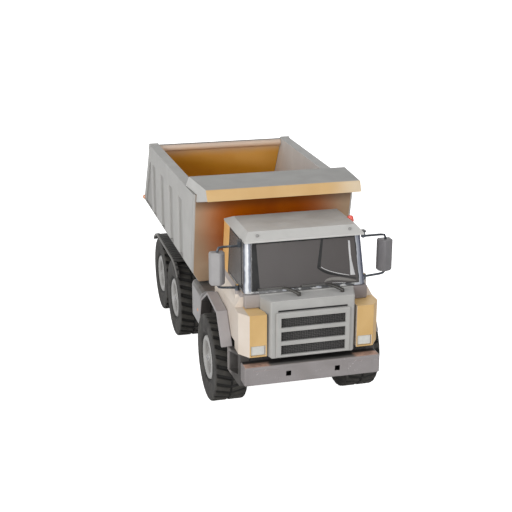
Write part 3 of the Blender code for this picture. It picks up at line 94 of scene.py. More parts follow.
def between(tree, value, low, high, start=0.0, end=1.0):
    """A smooth step of a value: start below low, end above high."""
    node = tree.nodes.new("ShaderNodeMapRange")
    node.interpolation_type = "SMOOTHSTEP"
    tree.links.new(value, node.inputs["Value"])
    for socket, number in (("From Min", low), ("From Max", high), ("To Min", start), ("To Max", end)):
        node.inputs[socket].default_value = number
    return node.outputs["Result"]


def mix(tree, factor, first, second):
    """A colour that goes from first to second as the factor goes from 0 to 1."""
    node = tree.nodes.new("ShaderNodeMix")
    node.data_type = "RGBA"
    tree.links.new(factor, node.inputs[0])
    for socket, colour in ((node.inputs[6], first), (node.inputs[7], second)):
        if isinstance(colour, tuple):
            socket.default_value = colour
        else:
            tree.links.new(colour, socket)
    return node.outputs[2]


def arithmetic(tree, operation, first, second=0.0):
    """One step of arithmetic on a socket, with a second socket or number where it takes one."""
    node = tree.nodes.new("ShaderNodeMath")
    node.operation = operation
    tree.links.new(first, node.inputs[0])
    if isinstance(second, (int, float)):
        node.inputs[1].default_value = second
    else:
        tree.links.new(second, node.inputs[1])
    return node.outputs[0]


def product(tree, first, *others):
    """Values multiplied together: of masks, the place where all of them hold."""
    for other in others:
        first = arithmetic(tree, "MULTIPLY", first, other)
    return first


def place(tree, coords, axis):
    """One coordinate of the point on the piece, in metres."""
    node = tree.nodes.new("ShaderNodeSeparateXYZ")
    tree.links.new(coords.outputs["Object"], node.inputs["Vector"])
    return node.outputs[axis]


def bumped(tree, shader, height, strength, depth):
    """A height from 0 to 1 as a shallow bump of the surface."""
    bump = tree.nodes.new("ShaderNodeBump")
    bump.inputs["Strength"].default_value = strength
    bump.inputs["Distance"].default_value = depth
    tree.links.new(height, bump.inputs["Height"])
    tree.links.new(bump.outputs["Normal"], shader.inputs["Normal"])


def grain(tree, coords, shader, scale, depth):
    """Fine mould texture: noise as a shallow bump."""
    bumped(tree, shader, noise(tree, coords, scale, 2.0), 0.6, depth)


def scuff(tree, coords, shader, roughness, spread):
    """Handling marks: patches that are duller or shinier than the rest."""
    clouds = noise(tree, coords, 55.0, 4.0)
    patches = between(tree, clouds, 0.35, 0.65, roughness - spread, roughness + spread)
    tree.links.new(patches, shader.inputs["Roughness"])


def clouded(tree, coords, colour, shade, scale=28.0):
    """A moulding's own colour drifting into a shade of it in soft clouds."""
    clouds = between(tree, noise(tree, coords, scale, 5.0, 0.4), 0.3, 0.7)
    return mix(tree, clouds, colour, shade)


def coat(tree, coords, shader, colour, roughness, spread=0.08, fineness=1400.0, depth=0.00006):
    """The surface of a piece: its colour, handling marks in its gloss and fine grain."""
    tree.links.new(colour, shader.inputs["Base Color"])
    scuff(tree, coords, shader, roughness, spread)
    grain(tree, coords, shader, fineness, depth)


def moulded_plastic(name, colour, shade, roughness=0.5, depth=0.00006):
    """Solid-coloured plastic with slight clouding, handling marks and fine grain."""
    material, tree, shader, coords = new_finish(name, roughness)
    coat(tree, coords, shader, clouded(tree, coords, colour, shade), roughness, depth=depth)
    return material


def shown(name, mesh, material, body, nodes=(), angle=35):
    """A finished piece: its mesh with a material, carried by a body, standing for CAD nodes."""
    mesh.materials.clear()
    mesh.materials.append(material)
    mesh.shade_smooth()
    mesh.set_sharp_from_angle(angle=math.radians(angle))
    piece = bpy.data.objects.new(name, mesh)
    bpy.context.scene.collection.objects.link(piece)
    if nodes:
        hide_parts(*nodes)
    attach(piece, body)
    return piece


def rounded(piece, edge, segments, angle):
    """A piece's edges rounded by the mould radius where its faces turn by more than an angle."""
    rounding = piece.modifiers.new("mould radius", "BEVEL")
    rounding.width = edge
    rounding.segments = segments
    rounding.limit_method = "ANGLE"
    rounding.angle_limit = math.radians(angle)
    return rounding


def moulded(node, body, material, edge, segments=2):
    """The node's own solid, triangles joined to flat faces and edges rounded by the mould radius."""
    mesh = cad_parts[node].data.copy()
    bm = bmesh.new()
    bm.from_mesh(mesh)
    bmesh.ops.remove_doubles(bm, verts=bm.verts, dist=0.000002)
    bmesh.ops.dissolve_limit(bm, angle_limit=math.radians(0.5), verts=bm.verts, edges=bm.edges)
    bm.to_mesh(mesh)
    bm.free()
    piece = shown(node + "_moulded", mesh, material, body, (node,))
    rounded(piece, edge, segments, 32).harden_normals = True
    return piece


black_plastic = moulded_plastic("black_frame_plastic", paint(38, 37, 37), paint(52, 51, 50), 0.55)
moulded("chassis_frame", "chassis", black_plastic, 0.0006)
for axle in ("front", "mid", "rear"):
    moulded(axle + "_axle_carrier", "chassis", black_plastic, 0.0006)

# Axles and hinge pins: bright drawn steel rod, cut to length with a small chamfer at each end.
# The axles turn in their carriers; the tipping pin and the tailgate's rod are pressed in.
ROD_STEPS = 32
ROD_CHAMFER = 0.18


def closed_mesh(name, points, faces):
    """A mesh of these points and quads: doubles merged, open ends filled and faces turned outwards."""
    mesh = bpy.data.meshes.new(name)
    mesh.from_pydata(points.reshape(-1, 3), [], faces.reshape(-1, 4))
    bm = bmesh.new()
    bm.from_mesh(mesh)
    bmesh.ops.remove_doubles(bm, verts=bm.verts, dist=0.000001)
    bmesh.ops.dissolve_degenerate(bm, edges=bm.edges, dist=0.000001)
    bmesh.ops.holes_fill(bm, edges=bm.edges, sides=0)
    bmesh.ops.recalc_face_normals(bm, faces=bm.faces)
    bm.to_mesh(mesh)
    bm.free()
    return mesh


def grid_mesh(name, points, wrap=(False, False)):
    """Quads between neighbours of a grid; wrap joins the last row or the last column to the first."""
    rows, columns = points.shape[:2]
    down = np.arange(rows if wrap[0] else rows - 1)[:, None]
    along = np.arange(columns if wrap[1] else columns - 1)[None, :]
    next_down = (down + 1) % rows
    next_along = (along + 1) % columns
    corners = (down * columns + along, next_down * columns + along,
               next_down * columns + next_along, down * columns + next_along)
    return closed_mesh(name, points, np.stack(corners, axis=-1))


def turned(profile, steps, centre, axis):
    """Radius and height pairs turned about an axis.

    A point is centre + height * axis + radius * (cos, sin of the turn) across the axis.
    """
    radius, height = np.array(profile, dtype=float).T
    axis = np.array(axis, dtype=float)
    axis /= np.linalg.norm(axis)
    across = np.cross(axis, (0.0, 0.0, 1.0) if abs(axis[2]) < 0.9 else (0.0, 1.0, 0.0))
    across /= np.linalg.norm(across)
    third = np.cross(axis, across)
    turn = np.linspace(0.0, 2.0 * math.pi, steps, endpoint=False)
    ring = np.cos(turn)[:, None] * across + np.sin(turn)[:, None] * third
    return np.array(centre) + height[None, :, None] * axis + radius[None, :, None] * ring[:, None, :]


def lathed(name, profile, steps, centre, axis, material, body, nodes=()):
    """A piece of turned shape: its profile's grid, joined round the axis."""
    mesh = grid_mesh(name, turned(profile, steps, centre, axis), (True, False))
    return shown(name, mesh, material, body, nodes)


def drawn_steel():
    """Bright steel with fine grain and faint tarnish."""
    material, tree, shader, coords = new_finish("drawn_steel", 0.28, 1.0)
    tarnish = between(tree, noise(tree, coords, 90.0, 4.0), 0.4, 0.75)
    colour = mix(tree, tarnish, paint(188, 188, 190), paint(150, 148, 145))
    coat(tree, coords, shader, colour, 0.28, spread=0.1, fineness=2200.0, depth=0.00002)
    return material


steel = drawn_steel()
for node, body in (("front_axle", "front_wheels"), ("mid_axle", "mid_wheels"), ("rear_axle", "rear_wheels"),
                   ("tip_hinge_pin", "chassis"), ("tailgate_hinge_rod", "dump_body"),
                   ("hoist_top_pin", "dump_body")):
    low, high = np.array(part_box(node))
    middle = (low + high) / 2
    reach = (high[0] - low[0]) / 2
    thick = (high[2] - low[2]) / 2
    chamfer = thick * ROD_CHAMFER
    rod = [(0, reach), (thick - chamfer, reach), (thick, reach - chamfer), (thick, chamfer - reach),
           (thick - chamfer, -reach), (0, -reach)]
    lathed(node + "_turned", rod, ROD_STEPS, middle, (1, 0, 0), steel, body, (node,))

# Tyres: rubber rings with a flat flank, a square shoulder and two rows of wide bars that meet in
# a shallow V. They are moulded in two halves and pushed over the rims.
LUGS = 28
TYRE_RADIUS = 0.0494
GROOVE_DEPTH = 0.0030
SHOULDER_X = 0.0178
FLANK_X = 0.0170
BAR_LEAN = -0.55


def tyre_surface(centre):
    """Points of a tyre: a section carried round the axle.

    Each point's angle is lug pitch * (lug + phase + lean), with a lean that grows from the shoulder to the
    middle, so the grid follows the bars. Its radius is the section's radius plus the bar's rise there times
    the height at that phase. A section's point is its radius, its place across the tyre and the bar's rise.
    """
    floor_radius = TYRE_RADIUS - GROOVE_DEPTH
    half_section = np.array((
        (0.02520, 0.0142, 0.0), (0.02560, 0.0158, 0.0), (0.02680, 0.0167, 0.0), (0.02800, 0.0168, 0.0),
        (0.02850, 0.0175, 0.0), (0.02960, 0.0178, 0.0), (0.03010, 0.0181, 0.0), (0.03150, 0.0182, 0.0),
        (0.03190, 0.0179, 0.0), (0.03600, 0.0182, 0.0), (0.04000, 0.0183, 0.0), (0.04400, 0.0183, 0.0),
        (TYRE_RADIUS - 0.0028, 0.0183, 0.0), (TYRE_RADIUS - 0.0016, 0.0181, 0.0003),
        (TYRE_RADIUS - 0.0013, 0.0175, 0.0009), (TYRE_RADIUS - 0.0016, 0.0166, 0.0015),
        (TYRE_RADIUS - 0.0026, 0.0152, 0.0026), (floor_radius, 0.0140, GROOVE_DEPTH),
        (floor_radius, 0.0080, GROOVE_DEPTH), (floor_radius, 0.0022, GROOVE_DEPTH),
        (floor_radius, 0.0014, 0.0027), (floor_radius, 0.0008, 0.0012)))
    section = np.concatenate((half_section, half_section[::-1] * (1.0, -1.0, 1.0)))
    phase = np.array((0.00, 0.04, 0.09, 0.13, 0.58, 0.62, 0.67, 0.71, 0.86))
    height = np.array((0.00, 0.12, 0.90, 1.00, 1.00, 0.90, 0.12, 0.00, 0.00))
    pitch = 2.0 * math.pi / LUGS
    lean = BAR_LEAN * (1.0 - np.clip(np.abs(section[:, 1]) / SHOULDER_X, 0.0, 1.0))
    turn = pitch * (np.arange(LUGS)[:, None, None] + phase[None, :, None] + lean[None, None, :])
    lug = np.broadcast_to(height[None, :, None], turn.shape)
    out = section[:, 0] + lug * section[:, 2]
    along = np.broadcast_to(section[:, 1], turn.shape)
    points = np.stack((along, out * np.sin(turn), out * np.cos(turn)), axis=-1)
    return np.array(centre) + points.reshape(-1, len(section), 3)


def mark_bars(mesh, centre):
    """Write each point's height above the groove, from 0 to 1, as the attribute bar; the flanks get 2."""
    points = np.empty(3 * len(mesh.vertices))
    mesh.vertices.foreach_get("co", points)
    points = points.reshape(-1, 3) - np.array(centre)
    height = (np.hypot(points[:, 1], points[:, 2]) - TYRE_RADIUS + GROOVE_DEPTH) / GROOVE_DEPTH
    height = np.where(np.abs(points[:, 0]) > FLANK_X, 2.0, np.clip(height, 0.0, 1.0))
    mesh.attributes.new("bar", "FLOAT", "POINT").data.foreach_set("value", height)


def tyre_rubber():
    """Matte black rubber, greyer with dust on the flanks and on the bars, painted black in the grooves as
    their shade.
    """
    material, tree, shader, coords = new_finish("tyre_rubber", 0.8)
    dust = between(tree, noise(tree, coords, 70.0, 6.0, 0.6), 0.42, 0.72)
    flank = mix(tree, dust, paint(50, 48, 46), paint(70, 68, 64))
    bar = mix(tree, dust, paint(46, 44, 40), paint(60, 57, 52))
    height = tree.nodes.new("ShaderNodeAttribute")
    height.attribute_name = "bar"
    raised = between(tree, height.outputs["Fac"], 0.35, 0.95)
    # Painted shade: the groove floors are near black.
    tread = mix(tree, raised, paint(24, 23, 21), bar)
    outside = between(tree, height.outputs["Fac"], 1.2, 1.8)
    colour = mix(tree, outside, tread, flank)
    coat(tree, coords, shader, colour, 0.78, spread=0.1, fineness=900.0, depth=0.00012)
    return material


rubber = tyre_rubber()
for axle in ("front", "mid", "rear"):
    for side in ("left", "right"):
        node = "tyre_" + axle + "_" + side
        low, high = np.array(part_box(node))
        mesh = grid_mesh(node, tyre_surface((low + high) / 2), (True, True))
        mark_bars(mesh, (low + high) / 2)
        shown(node + "_rubber", mesh, rubber, axle + "_wheels", (node,), 40)

# Rims: one-piece grey mouldings with a raised flange, a shallow darker dish and a stepped hub cap.
# Ten dummy wheel nuts are moulded on the dish. The axle is pressed into the hub from behind.
RIM_PROFILE = ((0.0, 0.0166), (0.0034, 0.0166), (0.0044, 0.0161), (0.0048, 0.0150), (0.0074, 0.0148),
               (0.0081, 0.0144), (0.0085, 0.0132), (0.0165, 0.0130), (0.0180, 0.0134), (0.0188, 0.0148),
               (0.0194, 0.0166), (0.0202, 0.0174), (0.0232, 0.0174), (0.0244, 0.0168), (0.0250, 0.0158),
               (0.0250, -0.0130), (0.0220, -0.0130), (0.0220, 0.0090), (0.0060, 0.0090), (0.0060, -0.0110),
               (0.0, -0.0110))
RIM_STEPS = 72
DISH_OUT = 0.0140
FLANGE_OUT = 0.0164
NUT_PROFILE = ((0.0, 0.0145), (0.0007, 0.0144), (0.0012, 0.0138), (0.0013, 0.0126))
NUT_CIRCLE = 0.0128
NUTS = 10
NUT_SIDES = 6


def distance_out(tree, coords):
    """Distance of the point from the truck's middle plane."""
    return arithmetic(tree, "ABSOLUTE", place(tree, coords, "X"))


def rim_grey(dish_x, flange_x):
    """Grey plastic, darker in the dish and lighter towards the raised flange and cap."""
    material, tree, shader, coords = new_finish("rim_grey", 0.42)
    plain_tone = clouded(tree, coords, paint(176, 175, 173), paint(164, 163, 160))
    dish_tone = clouded(tree, coords, paint(152, 150, 147), paint(138, 136, 133), 60.0)
    raised = between(tree, distance_out(tree, coords), dish_x, flange_x)
    coat(tree, coords, shader, mix(tree, raised, dish_tone, plain_tone), 0.42)
    return material


def nut_ring(name, middle, axis):
    """The nuts of one wheel: a profile turned in six steps, at even turns round the hub, closed below."""
    turns = np.linspace(0.0, 2.0 * math.pi, NUTS, endpoint=False)
    centres = middle + NUT_CIRCLE * np.stack((0 * turns, np.cos(turns), np.sin(turns)), axis=-1)
    points = np.stack([turned(NUT_PROFILE, NUT_SIDES, centre, axis) for centre in centres])
    here = np.arange(points.size // 3).reshape(points.shape[:3])
    after = np.roll(here, -1, axis=1)
    quads = np.stack((here[..., :-1], after[..., :-1], after[..., 1:], here[..., 1:]), axis=-1)
    return closed_mesh(name, points, quads)


wheel_low, wheel_high = np.array(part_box("tyre_front_right"))
wheel_x = (wheel_low[0] + wheel_high[0]) / 2
rim_plastic = rim_grey(wheel_x + DISH_OUT, wheel_x + FLANGE_OUT)
for axle in ("front", "mid", "rear"):
    for side, out in (("left", -1.0), ("right", 1.0)):
        node = "rim_" + axle + "_" + side
        tyre_low, tyre_high = np.array(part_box("tyre_" + axle + "_" + side))
        middle = (tyre_low + tyre_high) / 2
        axis = (out, 0, 0)
        body = axle + "_wheels"
        lathed(node + "_disc", RIM_PROFILE, RIM_STEPS, middle, axis, rim_plastic, body, (node,))
        nuts = nut_ring(node + "_nuts", middle, axis)
        shown(node + "_nuts", nuts, rim_plastic, body, ())

# Front bumper: a thick grey bar bolted across the ends of the rails, with two square tow holes.
# A shallow bare plate is moulded on the face outside each hole, and the bumper's top is stained brown;
# painted shadow makes it black under the grille and the tow holes black inside.


def facing(tree, coords, axis):
    """How far the surface faces along an axis, from -1 to 1."""
    node = tree.nodes.new("ShaderNodeSeparateXYZ")
    tree.links.new(coords.outputs["Normal"], node.inputs["Vector"])
    return node.outputs[axis]


bumper_low, bumper_high = np.array(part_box("front_bumper"))
BUMPER_FACE = bumper_low[1]
BUMPER_TOP = bumper_high[2]
TOW_HOLE_X = 0.027
TOW_HOLE_HALF = 0.003
SHADOW_HALF = 0.045
PLATE_NEAR = 0.038
PLATE_FAR = 0.066
PLATE_MARGIN = 0.0045
PLATE_PROUD = 0.0003
PLATE_THICK = 0.0008


def bumper_grey():
    """Grey plastic with pale rubbed spots, stained brown on top; painted shadow turns the top grey to black
    under the grille and the tow holes black.
    """
    material, tree, shader, coords = new_finish("bumper_grey", 0.5)
    bare = clouded(tree, coords, paint(138, 133, 133), paint(129, 124, 123))
    rubbed = between(tree, noise(tree, coords, 210.0, 6.0, 2.5), 0.66, 0.72)
    worn = mix(tree, rubbed, bare, paint(172, 167, 165))
    stain = clouded(tree, coords, paint(196, 160, 142), paint(150, 124, 112), 150.0)
    upward = between(tree, facing(tree, coords, "Z"), 0.75, 0.95)
    stained = mix(tree, upward, worn, stain)
    out = distance_out(tree, coords)
    depth = place(tree, coords, "Y")
    # Painted shadow: the top's middle and its back turn grey to black under the grille.
    central = between(tree, out, SHADOW_HALF, SHADOW_HALF + 0.005, 1.0, 0.0)
    shadowed_back = between(tree, depth, BUMPER_FACE + 0.0085, BUMPER_FACE + 0.0130)
    shadowed_top = product(tree, upward, arithmetic(tree, "MAXIMUM", central, shadowed_back))
    under_grille = between(tree, depth, BUMPER_FACE + 0.0030, BUMPER_FACE + 0.0090)
    painted_shadow = mix(tree, under_grille, paint(116, 113, 111), paint(34, 33, 32))
    darkened = mix(tree, shadowed_top, stained, painted_shadow)
    # Painted shade: the inside of each tow hole is near black.
    beside = arithmetic(tree, "ABSOLUTE", arithmetic(tree, "SUBTRACT", out, TOW_HOLE_X))
    within = between(tree, beside, TOW_HOLE_HALF - 0.0001, TOW_HOLE_HALF + 0.0001, 1.0, 0.0)
    sunk = between(tree, depth, BUMPER_FACE + 0.0003, BUMPER_FACE + 0.0009)
    below = between(tree, place(tree, coords, "Z"), BUMPER_TOP - 0.004, BUMPER_TOP - 0.003, 1.0, 0.0)
    in_hole = product(tree, within, sunk, below)
    coat(tree, coords, shader, mix(tree, in_hole, darkened, paint(14, 14, 14)), 0.5)
    return material


def slab(name, corners, thick, material, body, edge, nodes=(), relief=None, count=(24, 24)):
    """A plate on four corners given round its outer face.

    Both faces are bilinear grids joined round the rim. The outer face rises along the corners' normal by
    relief(u, v), with u and v from 0 to 1.
    """
    a, b, c, d = (np.array(corner, dtype=float) for corner in corners)
    normal = np.cross(b - a, d - a)
    normal /= np.linalg.norm(normal)
    u = np.linspace(0.0, 1.0, count[0])[:, None]
    v = np.linspace(0.0, 1.0, count[1])[None, :]
    weights = ((1 - u) * (1 - v), u * (1 - v), u * v, (1 - u) * v)
    face = sum(weight[..., None] * corner for weight, corner in zip(weights, (a, b, c, d)))
    back = face - normal * thick
    if relief is not None:
        face = face + normal * relief(u, v)[..., None]
    rows = [back[:, 0], *face.transpose(1, 0, 2), back[:, -1], *back.transpose(1, 0, 2)[::-1]]
    mesh = grid_mesh(name, np.stack(rows), (True, False))
    piece = shown(name, mesh, material, body, nodes)
    if edge:
        rounded(piece, edge, 2, 50)
    return piece


bumper_plastic = bumper_grey()
moulded("front_bumper", "chassis", bumper_plastic, 0.0006)
plate_low = bumper_low[2] + PLATE_MARGIN
plate_high = BUMPER_TOP - PLATE_MARGIN
front = BUMPER_FACE - PLATE_PROUD
for word, left, right in (("left", -PLATE_FAR, -PLATE_NEAR), ("right", PLATE_NEAR, PLATE_FAR)):
    corners = ((left, front, plate_low), (right, front, plate_low),
               (right, front, plate_high), (left, front, plate_high))
    slab("bumper_plate_" + word, corners, PLATE_THICK, bumper_plastic, "chassis", 0.0003,
         count=(4, 4))

# Cab body: one thick yellow moulding with corner blocks, flanks, rear pillars and back wall.
# The flanks, chamfers and shoulders are painted beige, the tops lighter and the pillars brighter as light
# washes them out; painted shade darkens the inside and the wheel arches.
cab_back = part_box("cab_body")[1][1]
window_low, window_high = np.array(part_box("window_insert"))
CABIN_BACK = cab_back - 0.0030
CABIN_FRONT = window_low[1] + 0.0070
CABIN_HALF = 0.0617
BELT_Z = window_low[2] - 0.0003
BLOCK_FACE = 0.0681
ARCH_RADIUS = 0.0620


def past_axle(tree, coords):
    """How far the point lies behind the front axle's line and above it."""
    middle = np.mean(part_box("front_axle"), axis=0)
    behind = arithmetic(tree, "SUBTRACT", place(tree, coords, "Y"), float(middle[1]))
    above = arithmetic(tree, "SUBTRACT", place(tree, coords, "Z"), float(middle[2]))
    return behind, above


def sum_of_products(tree, first, second):
    """The sum of two products, as of two squares: first[0] * second[0] + first[1] * second[1]."""
    return arithmetic(tree, "ADD", *(product(tree, *pair) for pair in zip(first, second)))


def cab_yellow():
    """Glossy yellow plastic with painted light, beige at the sides, lighter on top and brighter on the
    pillars, and painted shade dark in the cabin and the wheel arches.
    """
    material, tree, shader, coords = new_finish("cab_yellow", 0.42)
    # Painted light: faces that point up get a lighter copy of the yellow.
    upright = clouded(tree, coords, paint(203, 168, 112), paint(193, 157, 99))
    level = clouded(tree, coords, paint(228, 194, 138), paint(220, 184, 126))
    yellow = mix(tree, between(tree, facing(tree, coords, "Z"), 0.75, 0.95), upright, level)
    # Painted highlight: the beige is the yellow washed out by strong light, on left-facing faces and both
    # flanks.
    beige = clouded(tree, coords, paint(214, 203, 191), paint(207, 194, 180))
    height = place(tree, coords, "Z")
    turn = facing(tree, coords, "X")
    leftward = between(tree, turn, -0.45, -0.25, 1.0, 0.0)
    sideways = arithmetic(tree, "MAXIMUM", leftward, between(tree, turn, 0.85, 0.95))
    behind_blocks = between(tree, place(tree, coords, "Y"), CABIN_FRONT - 0.0020, CABIN_FRONT - 0.0014)
    beside_face = between(tree, place(tree, coords, "X"), -BLOCK_FACE - 0.0008, -BLOCK_FACE, 1.0, 0.0)
    below_belt = between(tree, height, BELT_Z - 0.0006, BELT_Z + 0.0004, 1.0, 0.0)
    outer = arithmetic(tree, "MAXIMUM", arithmetic(tree, "MAXIMUM", sideways, behind_blocks), beside_face)
    side_tone = product(tree, outer, below_belt)
    flank = between(tree, arithmetic(tree, "ABSOLUTE", turn), 0.7, 0.9)
    above_belt = between(tree, height, BELT_Z - 0.0006, BELT_Z + 0.0004)
    # Painted light: sideways faces above the belt get a brighter yellow.
    pillar = clouded(tree, coords, paint(232, 182, 112), paint(222, 170, 98))
    posted = mix(tree, product(tree, flank, above_belt), yellow, pillar)
    paled = mix(tree, side_tone, posted, beige)
    strip = product(tree, side_tone, between(tree, height, BELT_Z - 0.0046, BELT_Z - 0.0038))
    belted = mix(tree, strip, paled, paint(158, 150, 147))
    # Painted shade: the inside of the cabin is dark.
    inside_x = between(tree, distance_out(tree, coords), CABIN_HALF, CABIN_HALF + 0.0005, 1.0, 0.0)
    inside_y = between(tree, place(tree, coords, "Y"), CABIN_BACK - 0.0004, CABIN_BACK, 1.0, 0.0)
    behind_front = between(tree, place(tree, coords, "Y"), CABIN_FRONT - 0.0004, CABIN_FRONT)
    inside = product(tree, inside_x, inside_y, behind_front)
    shaded_inside = mix(tree, inside, belted, paint(70, 66, 62))
    # Painted shade: the wheel arches are dark.
    offset = past_axle(tree, coords)
    from_axle = arithmetic(tree, "SQRT", sum_of_products(tree, offset, offset))
    arch = between(tree, from_axle, ARCH_RADIUS, ARCH_RADIUS + 0.0012, 1.0, 0.0)
    colour = mix(tree, arch, shaded_inside, paint(56, 52, 49))
    coat(tree, coords, shader, colour, 0.42, spread=0.07, fineness=1300.0, depth=0.00005)
    return material


moulded("cab_body", "chassis", cab_yellow(), 0.0011, 3)

# Headlights: plain clear lenses with a low crown, pressed into the recesses of the corner blocks
# over a pale reflector.
LENS_CROWN = 0.0004
LENS_EDGE = 0.0005


def headlight_clear():
    """Clear plastic over a silvery reflector, read as one pale glossy surface."""
    material, tree, shader, coords = new_finish("headlight_clear", 0.18)
    silvery = clouded(tree, coords, paint(200, 200, 194), paint(188, 188, 183), 160.0)
    coat(tree, coords, shader, silvery, 0.2, spread=0.06, fineness=700.0, depth=0.00002)
    shader.inputs["Coat Weight"].default_value = 0.6
    shader.inputs["Coat Roughness"].default_value = 0.08
    return material


def low_crown(u, v):
    """Height of a lens: a flat top that falls off near its four edges."""
    return LENS_CROWN * (np.sin(np.pi * u) * np.sin(np.pi * v)) ** 0.35


lens_finish = headlight_clear()
for side in ("left", "right"):
    node = "headlight_" + side
    low, high = np.array(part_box(node))
    corners = ((low[0], low[1], low[2]), (high[0], low[1], low[2]),
               (high[0], low[1], high[2]), (low[0], low[1], high[2]))
    slab(node + "_lens", corners, high[1] - low[1], lens_finish, "chassis", LENS_EDGE, (node,),
         low_crown, (21, 15))

# Hood and grille: a pale grey housing that clips on between the corner blocks, with a vent line painted
# black as its shadow, and a frame with three wide slots over it.
mesh_low, mesh_high = np.array(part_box("grille_mesh"))
GRILLE_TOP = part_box("grille_frame")[1][2]
VENT_HEIGHT = 0.0024


def hood_grey():
    """Pale grey plastic, painted lighter where it faces up, with the vent line above the grille painted
    black as its shadow.
    """
    material, tree, shader, coords = new_finish("hood_grey", 0.45)
    upright = clouded(tree, coords, paint(168, 167, 164), paint(158, 157, 154))
    level = clouded(tree, coords, paint(198, 197, 195), paint(188, 187, 185))
    # Painted light: faces that point up get a lighter copy of the grey.
    pale = mix(tree, between(tree, facing(tree, coords, "Z"), 0.75, 0.95), upright, level)
    height = place(tree, coords, "Z")
    # Painted shadow: the vent line above the grille is black.
    vent_top = GRILLE_TOP + VENT_HEIGHT
    above = between(tree, height, GRILLE_TOP + 0.0001, GRILLE_TOP + 0.0004)
    below = between(tree, height, vent_top - 0.0002, vent_top + 0.0002, 1.0, 0.0)
    central = between(tree, distance_out(tree, coords), mesh_high[0], mesh_high[0] + 0.0004, 1.0, 0.0)
    vent = product(tree, above, below, central)
    coat(tree, coords, shader, mix(tree, vent, pale, paint(28, 27, 27)), 0.45)
    return material


pale_plastic = hood_grey()
moulded("hood", "chassis", pale_plastic, 0.0008)
moulded("grille_frame", "chassis", pale_plastic, 0.0007, 3)

# Grille mesh: a sheet of black woven mesh held between the hood and the grille frame.
# Its wires pass over and under each other by turns; their crowns are grey, and deeper in the sheet is
# painted black as the shade in the holes.
MESH_PITCH = 0.0019
MESH_RELIEF = 0.0009
POINTS_PER_WIRE = 6


def woven_mesh(low, high, pitch):
    """Front face of a woven sheet: height is the wire's relief times the larger of two crossed waves."""
    x = np.arange(low[0], high[0], pitch / POINTS_PER_WIRE)[:, None]
    z = np.arange(low[2], high[2], pitch / POINTS_PER_WIRE)[None, :]
    over = np.cos(np.pi * x / pitch) * np.cos(np.pi * z / pitch)
    upright = np.abs(np.cos(np.pi * x / pitch)) ** 3 * (0.66 + 0.34 * over)
    level = np.abs(np.cos(np.pi * z / pitch)) ** 3 * (0.66 - 0.34 * over)
    height = np.maximum(upright, level) * MESH_RELIEF
    return np.stack(np.broadcast_arrays(x, low[1] + MESH_RELIEF - height, z), axis=-1)


def mesh_black():
    """Black wire, grey on its crowns and painted black deeper in as the shade in the holes."""
    material, tree, shader, coords = new_finish("mesh_black", 0.5)
    crown = clouded(tree, coords, paint(92, 90, 88), paint(72, 70, 68))
    # Painted shade: the deeper parts of the sheet are black, standing for its holes.
    sunk = between(tree, place(tree, coords, "Y"), mesh_low[1] + 0.0001, mesh_low[1] + 0.0006)
    coat(tree, coords, shader, mix(tree, sunk, crown, paint(22, 21, 21)), 0.5, depth=0.00004)
    return material


front = woven_mesh(mesh_low, mesh_high, MESH_PITCH)
back = front * (1.0, 0.0, 1.0) + (0.0, mesh_high[1], 0.0)
sheet = grid_mesh("grille_mesh", np.concatenate((front, back[::-1])), (True, False))
shown("grille_mesh_woven", sheet, mesh_black(), "chassis", ("grille_mesh",))

# Cowl: the bar under the windscreen that closes the joint between hood and cab.
# Its middle is as pale as the hood, and its ends are mauve grey.
HOOD_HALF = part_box("hood")[1][0]


def cowl_grey():
    """Pale grey plastic behind the hood, mauve grey outside it, and painted darker at the right-hand end as
    shade.
    """
    material, tree, shader, coords = new_finish("cowl_grey", 0.48)
    pale = clouded(tree, coords, paint(174, 173, 170), paint(164, 163, 160))
    mauve = clouded(tree, coords, paint(158, 151, 148), paint(146, 139, 136))
    # Painted shade: the right-hand end is darker.
    shaded = clouded(tree, coords, paint(132, 124, 123), paint(120, 112, 111))
    ends = mix(tree, between(tree, place(tree, coords, "X"), -0.01, 0.01), mauve, shaded)
    outside = between(tree, distance_out(tree, coords), HOOD_HALF - 0.0004, HOOD_HALF + 0.0004)
    coat(tree, coords, shader, mix(tree, outside, pale, ends), 0.48)
    return material


moulded("cowl", "chassis", cowl_grey(), 0.0007)

# Window insert: windscreen and side windows in one clear moulding with rounded front corners.
# Its corners carry painted reflections as bright and blue-grey bands, smoked panes lie on its three sides
# in black gaskets, and a thin trim line with a painted highlight along its edge divides the windscreen's
# right-hand lower corner; more painted highlights lie on the glass.
CORNER = 0.008
WALL = 0.002
WINDOW_LEAN = 0.012
FOOT_MARGIN = 0.0026
HEAD_MARGIN = 0.0006
PANE_THICK = 0.0007
PANE_PROUD = 0.0003
PANE_GAP = 0.0004
SIDE_PANE_THICK = 0.0006
SIDE_PANE_PROUD = 0.0002
SIDE_PANE_GAP = 0.003
GASKET_RISE = 0.0002
GASKET_THICK = 0.0005
TRIM_THICK = 0.0003
LOW_TRIM = 0.0004
MIDDLE_TRIM = 0.0005
HIGH_TRIM = 0.0006
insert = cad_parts["window_insert"].data
insert_points = np.empty(3 * len(insert.vertices))
insert.vertices.foreach_get("co", insert_points)
insert_points = insert_points.reshape(-1, 3)
FOOT_HALF = window_high[0]
HEAD_HALF = insert_points[insert_points[:, 2] > window_high[2] - 0.0001, 0].max()


def up_window(z):
    """How far up the window a height is, from 0 at the foot to 1 at the head."""
    return (z - window_low[2]) / (window_high[2] - window_low[2])


def front_line(z):
    """The windscreen's outer face at a height, leaning back."""
    return window_low[1] + WINDOW_LEAN * up_window(z)


def half_line(z):
    """Half the window's width at a height, leaning in."""
    return FOOT_HALF + (HEAD_HALF - FOOT_HALF) * up_window(z)


